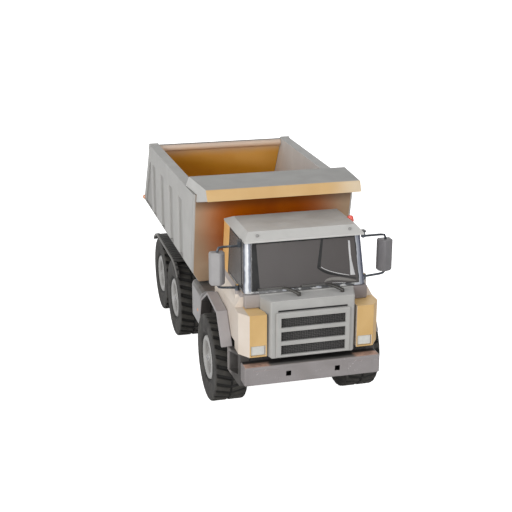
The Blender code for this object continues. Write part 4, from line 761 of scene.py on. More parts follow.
def window_path(half, front, rear, corner):
    """Plan of the moulding from rear left round the front to rear right: straights and quarter circles."""
    turn = np.linspace(0.0, math.pi / 2, 13)
    left = np.stack((np.full(12, -half), np.linspace(rear, front + corner, 12)), axis=-1)
    across = -half + corner * (1.0 - np.cos(turn))
    bend = np.stack((across, front + corner * (1.0 - np.sin(turn))), axis=-1)
    middle = np.stack((np.linspace(-half + corner, half - corner, 24), np.full(24, front)), axis=-1)
    right = bend[::-1] * (-1.0, 1.0)
    return np.concatenate((left, bend[1:-1], middle, right[1:-1], left[::-1] * (-1.0, 1.0)))


def window_shell():
    """Outer and inner walls: the plan carried up the height, leaning in and back, closed all round."""
    height = np.linspace(window_low[2], window_high[2], 10)
    rear = window_high[1]
    outer, inner = (np.stack([window_path(half_line(z) - depth, front_line(z) + depth, rear, CORNER - depth)
                              for z in height]) for depth in (0.0, WALL))
    lift = np.broadcast_to(height[:, None, None], (*outer.shape[:2], 1))
    walls = np.concatenate((np.concatenate((outer, lift), axis=-1),
                            np.concatenate((inner, lift), axis=-1)[::-1]))
    middle = (walls + walls[::-1]) / 2
    return np.concatenate((middle[:, :1], walls, middle[:, -1:]), axis=1)


# Painted reflections: the colour bands of the rounded corners, by which way the surface faces.
PAINTED_REFLECTION_BANDS = ((0.03, paint(96, 94, 96)), (0.05, paint(118, 123, 134)), (0.10, paint(150, 155, 166)),
                (0.125, paint(222, 224, 228)), (0.28, paint(228, 230, 233)), (0.32, paint(146, 151, 162)),
                (0.42, paint(112, 117, 130)), (0.45, paint(40, 40, 43)), (0.505, paint(70, 70, 72)),
                (0.52, paint(178, 181, 188)), (0.55, paint(178, 181, 188)), (0.575, paint(138, 143, 155)),
                (0.70, paint(128, 133, 146)), (0.74, paint(86, 90, 108)), (0.95, paint(76, 80, 98)))


def clear_plastic():
    """Clear glossy plastic whose rounded corners turn from a bright band to blue-grey and a dark edge as
    painted reflections, with painted glints streaked along the foot.
    """
    material, tree, shader, coords = new_finish("clear_plastic", 0.1)
    bands = tree.nodes.new("ShaderNodeValToRGB")
    turn = between(tree, facing(tree, coords, "X"), -1.0, 1.0)
    turn.node.interpolation_type = "LINEAR"
    waves = between(tree, noise(tree, coords, 90.0, 2.0), 0.3, 0.7, -0.025, 0.025)
    tree.links.new(arithmetic(tree, "ADD", turn, waves), bands.inputs["Fac"])
    ramp = bands.color_ramp
    for spot, colour in PAINTED_REFLECTION_BANDS:
        ramp.elements.new(spot).color = colour
    ramp.elements[0].color = paint(88, 85, 86)
    ramp.elements[-1].color = paint(60, 62, 72)
    height = place(tree, coords, "Z")
    # Painted glints: bright streaks along the foot of the moulding.
    low_down = between(tree, height, window_low[2] + 0.0024, window_low[2] + 0.0030, 1.0, 0.0)
    along = tree.nodes.new("ShaderNodeMapping")
    along.inputs["Scale"].default_value = (0.3, 1.0, 1.0)
    tree.links.new(coords.outputs["Object"], along.inputs["Vector"])
    glinting = noise(tree, coords, 200.0, 4.0, 0.8)
    tree.links.new(along.outputs["Vector"], glinting.node.inputs["Vector"])
    streaks = product(tree, between(tree, glinting, 0.54, 0.64), low_down)
    streaked = mix(tree, streaks, bands.outputs["Color"], paint(198, 198, 196))
    tree.links.new(streaked, shader.inputs["Base Color"])
    scuff(tree, coords, shader, 0.1, 0.05)
    shader.inputs["Transmission Weight"].default_value = 0.12
    shader.inputs["IOR"].default_value = 1.49
    return material


def smoked_pane():
    """Dark smoked plastic, slightly see-through, with wiped streaks in its gloss."""
    material, tree, shader, coords = new_finish("smoked_pane", 0.22)
    smoke = clouded(tree, coords, paint(83, 79, 78), paint(80, 76, 75), 12.0)
    tree.links.new(smoke, shader.inputs["Base Color"])
    scuff(tree, coords, shader, 0.24, 0.03)
    shader.inputs["Specular IOR Level"].default_value = 0.25
    shader.inputs["Transmission Weight"].default_value = 0.12
    shader.inputs["IOR"].default_value = 1.45
    return material


def gasket(name, corners, margins, material):
    """A flat frame round four corners given from lower left, as wide as the margins.

    Margins are the widths at the left, right, foot and head. Four rows of points, outer front, inner front,
    inner back and outer back, are joined round the frame.
    """
    a, b, c, d = (np.array(corner, dtype=float) for corner in corners)
    along = (b - a) / np.linalg.norm(b - a)
    up = (d - a) / np.linalg.norm(d - a)
    normal = np.cross(along, up)
    normal /= np.linalg.norm(normal)
    left, right, foot, head = margins
    outer = np.stack((a, b, c, d))
    inner = np.stack((a + along * left + up * foot, b - along * right + up * foot,
                      c - along * right - up * head, d + along * left - up * head))
    sunk = normal * GASKET_THICK
    rows = np.stack((outer, inner, inner - sunk, outer - sunk))
    return shown(name, grid_mesh(name, rows, (True, True)), material, "chassis", ())


def on_screen(x, z, proud):
    """A point on the windscreen at a place across and a height, proud of it by a little."""
    return (x, front_line(z) - proud, z)


def screen_ribbon(name, upper, lower, proud, material):
    """A thin strip on the windscreen between two edges, each given by points across and up.

    An edge is the cubic of best fit through its points, or a lower power where it has fewer than four. The
    strip's back lies deeper by the trim's thickness.
    """
    step = np.linspace(0.0, 1.0, 17)
    runs = []
    for edge in (upper, lower):
        spots = np.array(edge)
        along = np.linspace(0.0, 1.0, len(spots))
        order = min(3, len(spots) - 1)
        x, z = (np.polyval(np.polyfit(along, spots[:, axis], order), step) for axis in (0, 1))
        runs.append(np.stack((x, front_line(z) - proud, z), axis=-1))
    sunk = np.array((0.0, TRIM_THICK, 0.0))
    rows = np.stack((runs[0], runs[1], runs[1] + sunk, runs[0] + sunk))
    return shown(name, grid_mesh(name, rows, (True, False)), material, "chassis", ())


clear = clear_plastic()
smoked = smoked_pane()
rubber_black = moulded_plastic("gasket_rubber", paint(20, 20, 21), paint(30, 30, 30), 0.75)
# Painted highlight and painted sheen: pale strips laid on the glass.
glint = moulded_plastic("painted_glint", paint(206, 206, 206), paint(160, 160, 162), 0.2, 0.00002)
sheen = moulded_plastic("painted_sheen", paint(112, 109, 105), paint(98, 95, 91), 0.3, 0.00002)
shown("window_insert_clear", grid_mesh("window_insert", window_shell(), (True, False)), clear, "chassis",
      ("window_insert",), 50)
foot = window_low[2] + FOOT_MARGIN
head = window_high[2] - HEAD_MARGIN
foot_half = half_line(foot) - CORNER - PANE_GAP
head_half = half_line(head) - CORNER - PANE_GAP
screen = (on_screen(-foot_half, foot, PANE_PROUD), on_screen(foot_half, foot, PANE_PROUD),
          on_screen(head_half, head, PANE_PROUD), on_screen(-head_half, head, PANE_PROUD))
slab("windscreen_pane", screen, PANE_THICK, smoked, "chassis", 0, count=(6, 6))
rim = [(x, y - GASKET_RISE, z) for x, y, z in screen]
gasket("windscreen_gasket", rim, (0.0042, 0.0004, 0.0008, 0.0020), rubber_black)
low_z = foot + 0.0008
high_z = head - 0.0016
screen_ribbon("windscreen_gasket_side", ((-foot_half + 0.0030, low_z), (-head_half + 0.0026, high_z)),
              ((-foot_half + 0.0084, low_z), (-head_half + 0.0044, high_z)), LOW_TRIM, rubber_black)
# Painted glint: a bright strip along the windscreen's right-hand edge.
screen_ribbon("windscreen_painted_glint",
              ((0.0489, 0.1933), (0.0490, 0.1867), (0.0492, 0.1789), (0.0496, 0.1719), (0.0498, 0.1570)),
              ((0.0508, 0.1931), (0.0510, 0.1866), (0.0513, 0.1787), (0.0522, 0.1716), (0.0552, 0.1568)),
              LOW_TRIM, glint)
screen_ribbon("windscreen_line_upright", ((0.0186, 0.1968), (0.0128, 0.1672)),
              ((0.0211, 0.1968), (0.0167, 0.1680)), MIDDLE_TRIM, rubber_black)
screen_ribbon("windscreen_line_level",
              ((0.0135, 0.1682), (0.0235, 0.1634), (0.0299, 0.1608), (0.0391, 0.1583), (0.0560, 0.1540)),
              ((0.0133, 0.1668), (0.0215, 0.1616), (0.0279, 0.1590), (0.0390, 0.1568), (0.0560, 0.1524)),
              HIGH_TRIM, rubber_black)
# Painted highlight: the bright edge under the level trim line.
screen_ribbon("windscreen_line_painted_highlight",
              ((0.0177, 0.1683), (0.0235, 0.1648), (0.0299, 0.1623), (0.0392, 0.1596), (0.0485, 0.1574)),
              ((0.0174, 0.1678), (0.0235, 0.1643), (0.0299, 0.1617), (0.0391, 0.1591), (0.0484, 0.1570)),
              MIDDLE_TRIM, glint)
# Painted sheen and painted glint over the lower right of the windscreen.
screen_ribbon("windscreen_sill_painted_sheen",
              ((0.0201, 0.1521), (0.0270, 0.1562), (0.0400, 0.1554), (0.0560, 0.1512)),
              ((0.0201, 0.1519), (0.0290, 0.1534), (0.0400, 0.1524), (0.0560, 0.1502)), LOW_TRIM, sheen)
screen_ribbon("windscreen_sill_painted_glint", ((0.0290, 0.1508), (0.0440, 0.1497)),
              ((0.0290, 0.1505), (0.0440, 0.1492)), MIDDLE_TRIM, glint)
for side, word in ((-1.0, "left"), (1.0, "right")):
    ahead = CORNER + SIDE_PANE_GAP
    rear = window_high[1] - SIDE_PANE_GAP
    foot_x = side * (half_line(foot) + SIDE_PANE_PROUD)
    head_x = side * (half_line(head) + SIDE_PANE_PROUD)
    corners = [(foot_x, front_line(foot) + ahead, foot), (foot_x, rear, foot),
               (head_x, rear, head), (head_x, front_line(head) + ahead, head)]
    margins = (0.0013, 0.0005, 0.0005, 0.0012)
    if side < 0:
        corners = [corners[1], corners[0], corners[3], corners[2]]
        margins = (0.0005, 0.0013, 0.0005, 0.0012)
    slab("side_pane_" + word, corners, SIDE_PANE_THICK, smoked, "chassis", 0,
         count=(6, 6))
    rim = [(x + side * GASKET_RISE, y, z) for x, y, z in corners]
    gasket("side_gasket_" + word, rim, margins, rubber_black)

# Roof: a pale cap with sloping edges pressed on the pillars, with a small moulded stud at each front corner
# and a dark tab at each side that carries a mirror's upper pin.
roof_low, roof_high = np.array(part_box("cab_roof"))
VISOR_RISE = 0.0077
VISOR_RUN = 0.0098
TAB_X = 0.0660
STUD_X = 0.051
STUD_PROFILE = ((0.0, 0.0026), (0.0009, 0.0025), (0.0015, 0.0018), (0.0016, -0.0004), (0.0, -0.0004))


def roof_grey():
    """Pale grey plastic, warmer and painted a little darker as shade on the flat top, with dark mirror
    tabs.
    """
    material, tree, shader, coords = new_finish("roof_grey", 0.45)
    pale = clouded(tree, coords, paint(190, 189, 186), paint(180, 179, 176))
    # Painted shade: the flat top is a little darker.
    dust_and_shade = clouded(tree, coords, paint(184, 181, 177), paint(174, 170, 165))
    flat = between(tree, facing(tree, coords, "Z"), 0.90, 0.98)
    topped = mix(tree, flat, pale, dust_and_shade)
    tab = between(tree, distance_out(tree, coords), TAB_X, TAB_X + 0.0004)
    coat(tree, coords, shader, mix(tree, tab, topped, paint(62, 62, 64)), 0.45)
    return material


moulded("cab_roof", "chassis", roof_grey(), 0.0009, 3)
# Painted shade: the studs are darker than the roof so that they read by their shadows.
stud_plastic = moulded_plastic("stud_shade_grey", paint(148, 147, 145), paint(132, 131, 129), 0.4)
visor_out = (0.0, -VISOR_RISE, VISOR_RUN)
for side, word in ((-1.0, "left"), (1.0, "right")):
    spot = (side * STUD_X, roof_low[1] + VISOR_RUN / 2, roof_high[2] - VISOR_RISE / 2)
    lathed("roof_stud_" + word, STUD_PROFILE, 20, spot, visor_out, stud_plastic, "chassis", ())

# Beacon: a clear orange-red button lamp set in a seat at the roof's right edge.
# It is moulded in one piece, a dome on a collar.


def lamp_clear(name, colour, deep):
    """Tinted clear plastic, deeper in colour in soft clouds."""
    material, tree, shader, coords = new_finish(name, 0.2)
    depth = between(tree, noise(tree, coords, 220.0, 2.0), 0.3, 0.7)
    tree.links.new(mix(tree, depth, colour, deep), shader.inputs["Base Color"])
    shader.inputs["Coat Weight"].default_value = 0.7
    shader.inputs["Coat Roughness"].default_value = 0.06
    grain(tree, coords, shader, 800.0, 0.00003)
    return material


beacon_low, beacon_high = np.array(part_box("beacon"))
radius = (beacon_high[0] - beacon_low[0]) / 2
tall = beacon_high[2] - beacon_low[2]
dome = [(0.0, tall), (radius * 0.45, tall * 0.97), (radius * 0.74, tall * 0.86),
        (radius * 0.86, tall * 0.66), (radius * 0.90, tall * 0.35), (radius, tall * 0.30),
        (radius, 0.0), (0.0, 0.0)]
base = ((beacon_low[0] + beacon_high[0]) / 2, (beacon_low[1] + beacon_high[1]) / 2, beacon_low[2])
beacon_red = lamp_clear("beacon_red", paint(238, 96, 72), paint(224, 66, 46))
lathed("beacon_lamp", dome, 32, base, (0, 0, 1), beacon_red, "chassis", ("beacon",))

# Wipers: black arms on a boss that carry a flat blade along the foot of the windscreen.
# A tapered cap, moulded with the arm, thickens it towards the boss.
CAP_REACH = 0.0160
CAP_END = 0.0012
CAP_TIP = (0.0024, 0.0018)
CAP_FOOT = (0.0050, 0.0034)
CAP_ARCH = 0.0010
wiper_plastic = moulded_plastic("wiper_plastic", paint(56, 54, 52), paint(72, 70, 66), 0.35)


def wiper_arm(start, end, start_size, end_size):
    """A tapered bar: flat ovals, of the width and height given at each end, carried along a low arch."""
    step = np.linspace(0.0, 1.0, 9)[:, None]
    path = np.array(start) * (1.0 - step) + np.array(end) * step
    path[:, 2] += CAP_ARCH * np.sin(np.pi * step[:, 0])
    along = np.array(end) - np.array(start)
    across = np.array((along[1], -along[0], 0.0)) / np.hypot(along[0], along[1])
    turn = np.linspace(0.0, 2.0 * math.pi, 16, endpoint=False)[None, :, None]
    wide = (start_size[0] * (1.0 - step) + end_size[0] * step)[:, :, None]
    tall = (start_size[1] * (1.0 - step) + end_size[1] * step)[:, :, None]
    ring = np.sign(np.cos(turn)) * np.abs(np.cos(turn)) ** 0.6 * wide / 2 * across
    return path[:, None, :] + ring + np.sin(turn) * tall / 2 * np.array((0.0, 0.0, 1.0))


for side in ("left", "right"):
    moulded("wiper_" + side, "chassis", wiper_plastic, 0.0002)
    low, high = np.array(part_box("wiper_" + side))
    start = (high[0] - CAP_REACH, high[1] - CAP_END, high[2] - 0.0013)
    end = (high[0] - CAP_END, low[1] + CAP_END, low[2] + 0.0018)
    cap = grid_mesh("wiper_cap_" + side, wiper_arm(start, end, CAP_TIP, CAP_FOOT), (False, True))
    shown("wiper_cap_" + side, cap, wiper_plastic, "chassis", (), 60)

# Mirrors: a bent steel wire, coated dark, with two sleeves on the pivot pins, through a grey housing.
# A bright mirror plate is glued on the back of each housing.
GLASS_INSET = 0.002
GLASS_PROUD = 0.0003
GLASS_THICK = 0.0006


def coated_wire():
    """Dark satin coating, worn to bluish metal in places."""
    material, tree, shader, coords = new_finish("coated_wire", 0.35, 0.5)
    wear = between(tree, noise(tree, coords, 140.0, 4.0), 0.45, 0.7)
    colour = mix(tree, wear, paint(56, 60, 66), paint(104, 110, 118))
    coat(tree, coords, shader, colour, 0.35, spread=0.1, fineness=1200.0, depth=0.00004)
    return material


def mirror_plate():
    """Silvered plastic, with faint clouds in the gloss."""
    material, tree, shader, coords = new_finish("mirror_plate", 0.06, 1.0)
    clouds = between(tree, noise(tree, coords, 60.0, 3.0), 0.4, 0.7)
    silvered = mix(tree, clouds, paint(224, 226, 228), paint(212, 214, 217))
    tree.links.new(silvered, shader.inputs["Base Color"])
    scuff(tree, coords, shader, 0.06, 0.04)
    return material


def housing_grey():
    """Grey plastic with painted shade: darker on the facets that face away from the light, and on the
    right-hand housing.
    """
    material, tree, shader, coords = new_finish("housing_grey", 0.42)
    light = clouded(tree, coords, paint(156, 154, 154), paint(144, 142, 142))
    dark = clouded(tree, coords, paint(106, 104, 106), paint(98, 96, 98))
    # Painted shade: facets turned from the light and the right-hand housing are darker.
    turned_away = between(tree, facing(tree, coords, "X"), -0.15, 0.15, 0.0, 0.6)
    right_hand = between(tree, place(tree, coords, "X"), -0.01, 0.01, 0.0, 0.95)
    shaded = arithmetic(tree, "MAXIMUM", turned_away, right_hand)
    coat(tree, coords, shader, mix(tree, shaded, light, dark), 0.42)
    return material


housing_plastic = housing_grey()
wire = coated_wire()
silver = mirror_plate()
for side in ("left", "right"):
    moulded("mirror_arm_" + side, "mirror_" + side, wire, 0.0002)
    moulded("mirror_housing_" + side, "mirror_" + side, housing_plastic, 0.0010, 3)
    low, high = np.array(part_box("mirror_housing_" + side))
    y = high[1] + GLASS_PROUD
    left, right = low[0] + GLASS_INSET, high[0] - GLASS_INSET
    foot_z, head_z = low[2] + GLASS_INSET, high[2] - GLASS_INSET
    corners = ((right, y, foot_z), (left, y, foot_z), (left, y, head_z), (right, y, head_z))
    slab("mirror_glass_" + side, corners, GLASS_THICK, silver, "mirror_" + side, 0,
         count=(4, 4))

# Wheel arches: faceted grey strips screwed to the cab's flanks over the front wheels.
# Their undersides, where they face the axle, are painted dark as shade.


def fender_grey():
    """Mauve grey plastic, painted dark as shade where the surface faces the axle."""
    material, tree, shader, coords = new_finish("fender_grey", 0.5)
    bare = clouded(tree, coords, paint(162, 157, 157), paint(150, 145, 145))
    turned_to = (facing(tree, coords, "Y"), facing(tree, coords, "Z"))
    outward = sum_of_products(tree, past_axle(tree, coords), turned_to)
    # Painted shade: faces turned to the axle are dark.
    under = between(tree, outward, -0.030, -0.010, 1.0, 0.0)
    coat(tree, coords, shader, mix(tree, under, bare, paint(64, 60, 58)), 0.5)
    return material


fender_plastic = fender_grey()
for side in ("left", "right"):
    moulded("front_fender_" + side, "chassis", fender_plastic, 0.0008)

# Steps: grey boxes between the bumper's ends and the front wheels, screwed to the frame.
# Each has a recess for the foot, painted dark as its shade.
RECESS_FLOOR = 0.0055


def step_grey():
    """Grey plastic, painted dark in the recess as its shade."""
    material, tree, shader, coords = new_finish("step_grey", 0.5)
    bare = clouded(tree, coords, paint(138, 133, 131), paint(126, 121, 119))
    # Painted shade: the recess is dark.
    recess_shade = clouded(tree, coords, paint(74, 71, 69), paint(62, 59, 57), 90.0)
    floor_x = bumper_high[0] + RECESS_FLOOR
    sunk = between(tree, distance_out(tree, coords), floor_x, floor_x + 0.0020, 1.0, 0.0)
    coat(tree, coords, shader, mix(tree, sunk, bare, recess_shade), 0.5)
    return material


step_plastic = step_grey()
for side in ("left", "right"):
    moulded("step_" + side, "chassis", step_plastic, 0.0006)

# Side tanks: grey boxes with a bent upper edge, screwed to the outriggers behind the front wheels.
# The top is painted dark as the shadow of the load body, and each outer face carries a small amber
# reflector.
REFLECTOR_BACK = 0.0153
REFLECTOR_UP = 0.0171
REFLECTOR_PROFILE = ((0.0, 0.0008), (0.0011, 0.0007), (0.0017, 0.0003), (0.0019, -0.0004), (0.0, -0.0004))


def tank_grey():
    """Grey plastic, painted dark where it faces up as the shadow of the load body."""
    material, tree, shader, coords = new_finish("tank_grey", 0.48)
    bare = clouded(tree, coords, paint(164, 162, 162), paint(154, 152, 152))
    # Painted shadow: the upward faces are dark under the load body.
    tub_shadow = clouded(tree, coords, paint(112, 109, 106), paint(98, 95, 92), 70.0)
    upward = between(tree, facing(tree, coords, "Z"), 0.25, 0.50)
    coat(tree, coords, shader, mix(tree, upward, bare, tub_shadow), 0.48)
    return material


tank_plastic = tank_grey()
amber = lamp_clear("lamp_amber", paint(236, 178, 146), paint(224, 154, 118))
for side, out in (("left", -1.0), ("right", 1.0)):
    moulded("side_tank_" + side, "chassis", tank_plastic, 0.0010)
    low, high = np.array(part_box("side_tank_" + side))
    spot = (low[0] if out < 0 else high[0], low[1] + REFLECTOR_BACK, low[2] + REFLECTOR_UP)
    lathed("tank_reflector_" + side, REFLECTOR_PROFILE, 24, spot, (out, 0, 0), amber, "chassis", ())

# Mudguards: thin black strips bent over each pair of rear wheels and screwed to the outriggers.
# They are ribbed across, painted dark between the ribs as shade, with a paler bead along the outer edge.
# A wave texture of scale 1 has a band every WAVE_PITCH metres.
GUARD_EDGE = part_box("rear_mudguard_right")[1][0]
RIB_PITCH = 0.0075
RIB_DEPTH = 0.0004
WAVE_PITCH = 0.314


def guard_black():
    """Dusty black plastic with fine ribs across it, painted dark between them as shade, and a paler bead
    along the outer edge.
    """
    material, tree, shader, coords = new_finish("guard_black", 0.6)
    dust_and_shade = clouded(tree, coords, paint(86, 84, 81), paint(70, 68, 66), 60.0)
    ribs = tree.nodes.new("ShaderNodeTexWave")
    ribs.bands_direction = "Y"
    ribs.inputs["Scale"].default_value = WAVE_PITCH / RIB_PITCH
    tree.links.new(coords.outputs["Object"], ribs.inputs["Vector"])
    # Painted shade: the troughs between the ribs are near black.
    ribbed = mix(tree, between(tree, ribs.outputs["Fac"], 0.15, 0.5), paint(30, 29, 28), dust_and_shade)
    bead = between(tree, distance_out(tree, coords), GUARD_EDGE - 0.0016, GUARD_EDGE - 0.0011)
    tree.links.new(mix(tree, bead, ribbed, paint(124, 122, 119)), shader.inputs["Base Color"])
    scuff(tree, coords, shader, 0.6, 0.08)
    bumped(tree, shader, ribs.outputs["Fac"], 0.7, RIB_DEPTH)
    return material


guard_plastic = guard_black()
for side in ("left", "right"):
    moulded("rear_mudguard_" + side, "chassis", guard_plastic, 0.0003)

# Load body: floor, bulkhead and tailgate between thick grey sides with pressed ribs.
# The bulkhead is orange, strongest in the middle, and fades to grey-brown at the rims. The tailgate hangs
# on its rod between the rear posts, golden inside and grey outside, with four shallow ribs.
bulkhead_low, bulkhead_high = np.array(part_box("tub_bulkhead"))
side_high = np.array(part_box("tub_side_right"))[1]
gate_low, gate_high = np.array(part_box("tailgate"))
TRAY_HALF = 0.0865
BULKHEAD_EDGE = 0.0928
BURNT_X = -0.006
BURNT_Z = 0.190
BURNT_HALF = 0.078
BURNT_RISE = 0.080
GATE_MIDDLE = 0.2
GATE_SLANT = 5.5
GATE_SLOPE = math.tan(math.radians(32.0))
RIB_HALF = 0.006
RIB_RISE = 0.0014
RIB_MARGIN = 0.012
RIB_THICK = 0.0006
RIB_PLACES = (-0.054, -0.018, 0.018, 0.054)
BULKHEAD_TOP = float(bulkhead_high[2])
TUB_FRONT = float(bulkhead_low[1])
TUB_FRONT_HALF = float(bulkhead_high[0])
TUB_FLARE = float((side_high[0] - bulkhead_high[0]) / (side_high[1] - bulkhead_low[1]))


def bulkhead_orange():
    """Orange plastic, burnt orange behind the cab roof, grey-brown towards the sides, with painted shade
    darkening it under the canopy.
    """
    material, tree, shader, coords = new_finish("bulkhead_orange", 0.5)
    side_tone = clouded(tree, coords, paint(172, 147, 122), paint(160, 135, 110), 22.0)
    strong = clouded(tree, coords, paint(184, 94, 0), paint(168, 80, 0), 22.0)
    across = arithmetic(tree, "SUBTRACT", place(tree, coords, "X"), BURNT_X)
    up = arithmetic(tree, "SUBTRACT", place(tree, coords, "Z"), BURNT_Z)
    offset = (arithmetic(tree, "DIVIDE", across, BURNT_HALF), arithmetic(tree, "DIVIDE", up, BURNT_RISE))
    clouds = product(tree, noise(tree, coords, 30.0, 2.0), 0.3)
    ragged = arithmetic(tree, "ADD", sum_of_products(tree, offset, offset), clouds)
    burnt = mix(tree, between(tree, ragged, 0.35, 1.6), strong, side_tone)
    # Painted shade: a dark band under the canopy.
    shade = between(tree, place(tree, coords, "Z"), BULKHEAD_TOP - 0.024, BULKHEAD_TOP - 0.010)
    canopy_shaded = mix(tree, product(tree, shade, 0.5), burnt, paint(72, 50, 32))
    edge = between(tree, distance_out(tree, coords), BULKHEAD_EDGE - 0.0004, BULKHEAD_EDGE + 0.0004)
    coat(tree, coords, shader, mix(tree, edge, canopy_shaded, paint(180, 179, 176)), 0.5, fineness=1300.0)
    shader.inputs["Specular IOR Level"].default_value = 0.15
    return material


def gate_golden():
    """Golden plastic inside, painted deeper to the lower left and at the right edge as shade, worn to mauve
    above.

    The top is dark grey and the outer face is grey.
    """
    material, tree, shader, coords = new_finish("gate_golden", 0.5)
    bright = clouded(tree, coords, paint(252, 198, 106), paint(244, 186, 90), 18.0)
    deep = clouded(tree, coords, paint(222, 163, 52), paint(210, 149, 40), 18.0)
    across = place(tree, coords, "X")
    height = place(tree, coords, "Z")
    above = arithmetic(tree, "SUBTRACT", height, GATE_MIDDLE)
    slanted = arithmetic(tree, "ADD", across, product(tree, above, GATE_SLANT))
    # Painted shade: deeper golden towards the lower left.
    sunlit = mix(tree, between(tree, slanted, -0.10, 0.045), deep, bright)
    # Painted shade: deeper at the right edge beside the side panel.
    right_edge = product(tree, between(tree, across, 0.050, 0.088), 0.6)
    golden = mix(tree, right_edge, sunlit, deep)
    clouds = product(tree, noise(tree, coords, 25.0, 4.0), 0.008)
    worn = between(tree, arithmetic(tree, "ADD", height, clouds), 0.204, 0.228)
    inner = mix(tree, worn, golden, paint(216, 196, 180))
    rim = between(tree, facing(tree, coords, "Z"), 0.70, 0.90)
    rimmed = mix(tree, rim, inner, paint(118, 114, 110))
    outer = clouded(tree, coords, paint(182, 181, 178), paint(176, 175, 172))
    behind = between(tree, facing(tree, coords, "Y"), 0.3, 0.6)
    coat(tree, coords, shader, mix(tree, behind, rimmed, outer), 0.5, spread=0.04, fineness=1300.0)
    shader.inputs["Specular IOR Level"].default_value = 0.25
    return material


def tray_orange():
    """Orange plastic on the tray's inner floor, grey on its edges and underneath."""
    material, tree, shader, coords = new_finish("tray_orange", 0.5)
    golden = clouded(tree, coords, paint(206, 142, 58), paint(186, 120, 40), 18.0)
    outer = clouded(tree, coords, paint(178, 177, 174), paint(166, 165, 162))
    upward = between(tree, facing(tree, coords, "Z"), 0.75, 0.95)
    central = between(tree, distance_out(tree, coords), TRAY_HALF - 0.001, TRAY_HALF, 1.0, 0.0)
    floor = product(tree, upward, central)
    coat(tree, coords, shader, mix(tree, floor, outer, golden), 0.5, fineness=1300.0)
    return material


def tub_grey():
    """Grey plastic, paler and warmer on the faces that hold the load, with painted shade darker in the sunk
    pockets and on top of the rails.
    """
    material, tree, shader, coords = new_finish("tub_grey", 0.48)
    face = clouded(tree, coords, paint(182, 181, 178), paint(176, 175, 172))
    pocket = clouded(tree, coords, paint(166, 165, 162), paint(160, 159, 156))
    inner = clouded(tree, coords, paint(210, 211, 210), paint(203, 203, 201))
    rail = clouded(tree, coords, paint(156, 155, 152), paint(150, 149, 146))
    back = arithmetic(tree, "SUBTRACT", place(tree, coords, "Y"), TUB_FRONT)
    half = arithmetic(tree, "ADD", product(tree, back, TUB_FLARE), TUB_FRONT_HALF)
    depth = arithmetic(tree, "SUBTRACT", half, distance_out(tree, coords))
    # Painted shade: the sunk pockets are darker.
    outer = mix(tree, between(tree, depth, 0.0008, 0.0020), face, pocket)
    outward = product(tree, facing(tree, coords, "X"), place(tree, coords, "X"))
    walled = mix(tree, between(tree, outward, -0.05, -0.03, 1.0, 0.0), outer, inner)
    # Painted shade: the tops of the rails are darker.
    upward = between(tree, facing(tree, coords, "Z"), 0.80, 0.95)
    coat(tree, coords, shader, mix(tree, upward, walled, rail), 0.5, spread=0.03)
    return material


def gate_face(z):
    """The tailgate's outer face at a height, leaning forward as it rises."""
    return gate_high[1] - GATE_SLOPE * (z - gate_low[2])


def rib_crown(u, v):
    """Height of a rib: flat along the middle, falling to the gate near its edges."""
    across = np.minimum(1.0, 4.0 * np.minimum(u, 1.0 - u))
    along = np.minimum(1.0, 12.0 * np.minimum(v, 1.0 - v))
    return RIB_RISE * across * along


moulded("tub_floor", "dump_body", tray_orange(), 0.0006)
moulded("tub_bulkhead", "dump_body", bulkhead_orange(), 0.0008)
gate_plastic = gate_golden()
moulded("tailgate", "tailgate_body", gate_plastic, 0.0008)
rib_low = gate_low[2] + RIB_MARGIN
rib_high = gate_high[2] - RIB_MARGIN
for number, x in enumerate(RIB_PLACES, start=1):
    corners = ((x + RIB_HALF, gate_face(rib_low), rib_low), (x - RIB_HALF, gate_face(rib_low), rib_low),
               (x - RIB_HALF, gate_face(rib_high), rib_high), (x + RIB_HALF, gate_face(rib_high), rib_high))
    slab("tailgate_rib_%d" % number, corners, RIB_THICK, gate_plastic, "tailgate_body", 0,
         relief=rib_crown, count=(25, 25))
grey_plastic = tub_grey()
for side in ("left", "right"):
    moulded("tub_side_" + side, "dump_body", grey_plastic, 0.0009, 3)

# Canopy: a hollow grey hood over the cab that stands on the side rails, with a yellow strip along its lip.
# Its flat top is painted darker as shade, and the strip is paler towards its right-hand end.


def canopy_grey():
    """Grey plastic, painted darker on the flat top as shade."""
    material, tree, shader, coords = new_finish("canopy_grey", 0.48)
    plain_tone = clouded(tree, coords, paint(196, 195, 192), paint(190, 189, 186))
    dust_and_shade = clouded(tree, coords, paint(140, 139, 136), paint(134, 133, 130))
    # Painted shade: the flat top is darker.
    upward = between(tree, facing(tree, coords, "Z"), 0.80, 0.95)
    coat(tree, coords, shader, mix(tree, upward, plain_tone, dust_and_shade), 0.5, spread=0.03)
    return material


def lip_yellow():
    """Yellow plastic, paler towards the right-hand end."""
    material, tree, shader, coords = new_finish("lip_yellow", 0.45)
    strong = clouded(tree, coords, paint(206, 172, 120), paint(199, 162, 108))
    pale = clouded(tree, coords, paint(212, 194, 166), paint(204, 184, 154))
    paled = between(tree, place(tree, coords, "X"), 0.045, 0.088)
    coat(tree, coords, shader, mix(tree, paled, strong, pale), 0.45)
    return material


moulded("tub_canopy", "dump_body", canopy_grey(), 0.0010, 3)
moulded("canopy_lip", "dump_body", lip_yellow(), 0.0006)

# Marker lamps: small buttons of clear amber plastic.
# They are pushed into the lower rear corners of the sides.
for side, out in (("left", -1.0), ("right", 1.0)):
    node = "marker_lamp_" + side
    low, high = np.array(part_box(node))
    middle = (low + high) / 2
    radius = (high[2] - low[2]) / 2
    tall = high[0] - low[0]
    base = (low[0] if out > 0 else high[0], middle[1], middle[2])
    button = [(0.0, tall), (radius * 0.4, tall * 0.95), (radius * 0.72, tall * 0.78),
              (radius * 0.9, tall * 0.45), (radius, tall * 0.2), (radius, 0.0), (0.0, 0.0)]
    lathed(node + "_button", button, 24, base, (out, 0, 0), amber, "dump_body", (node,))

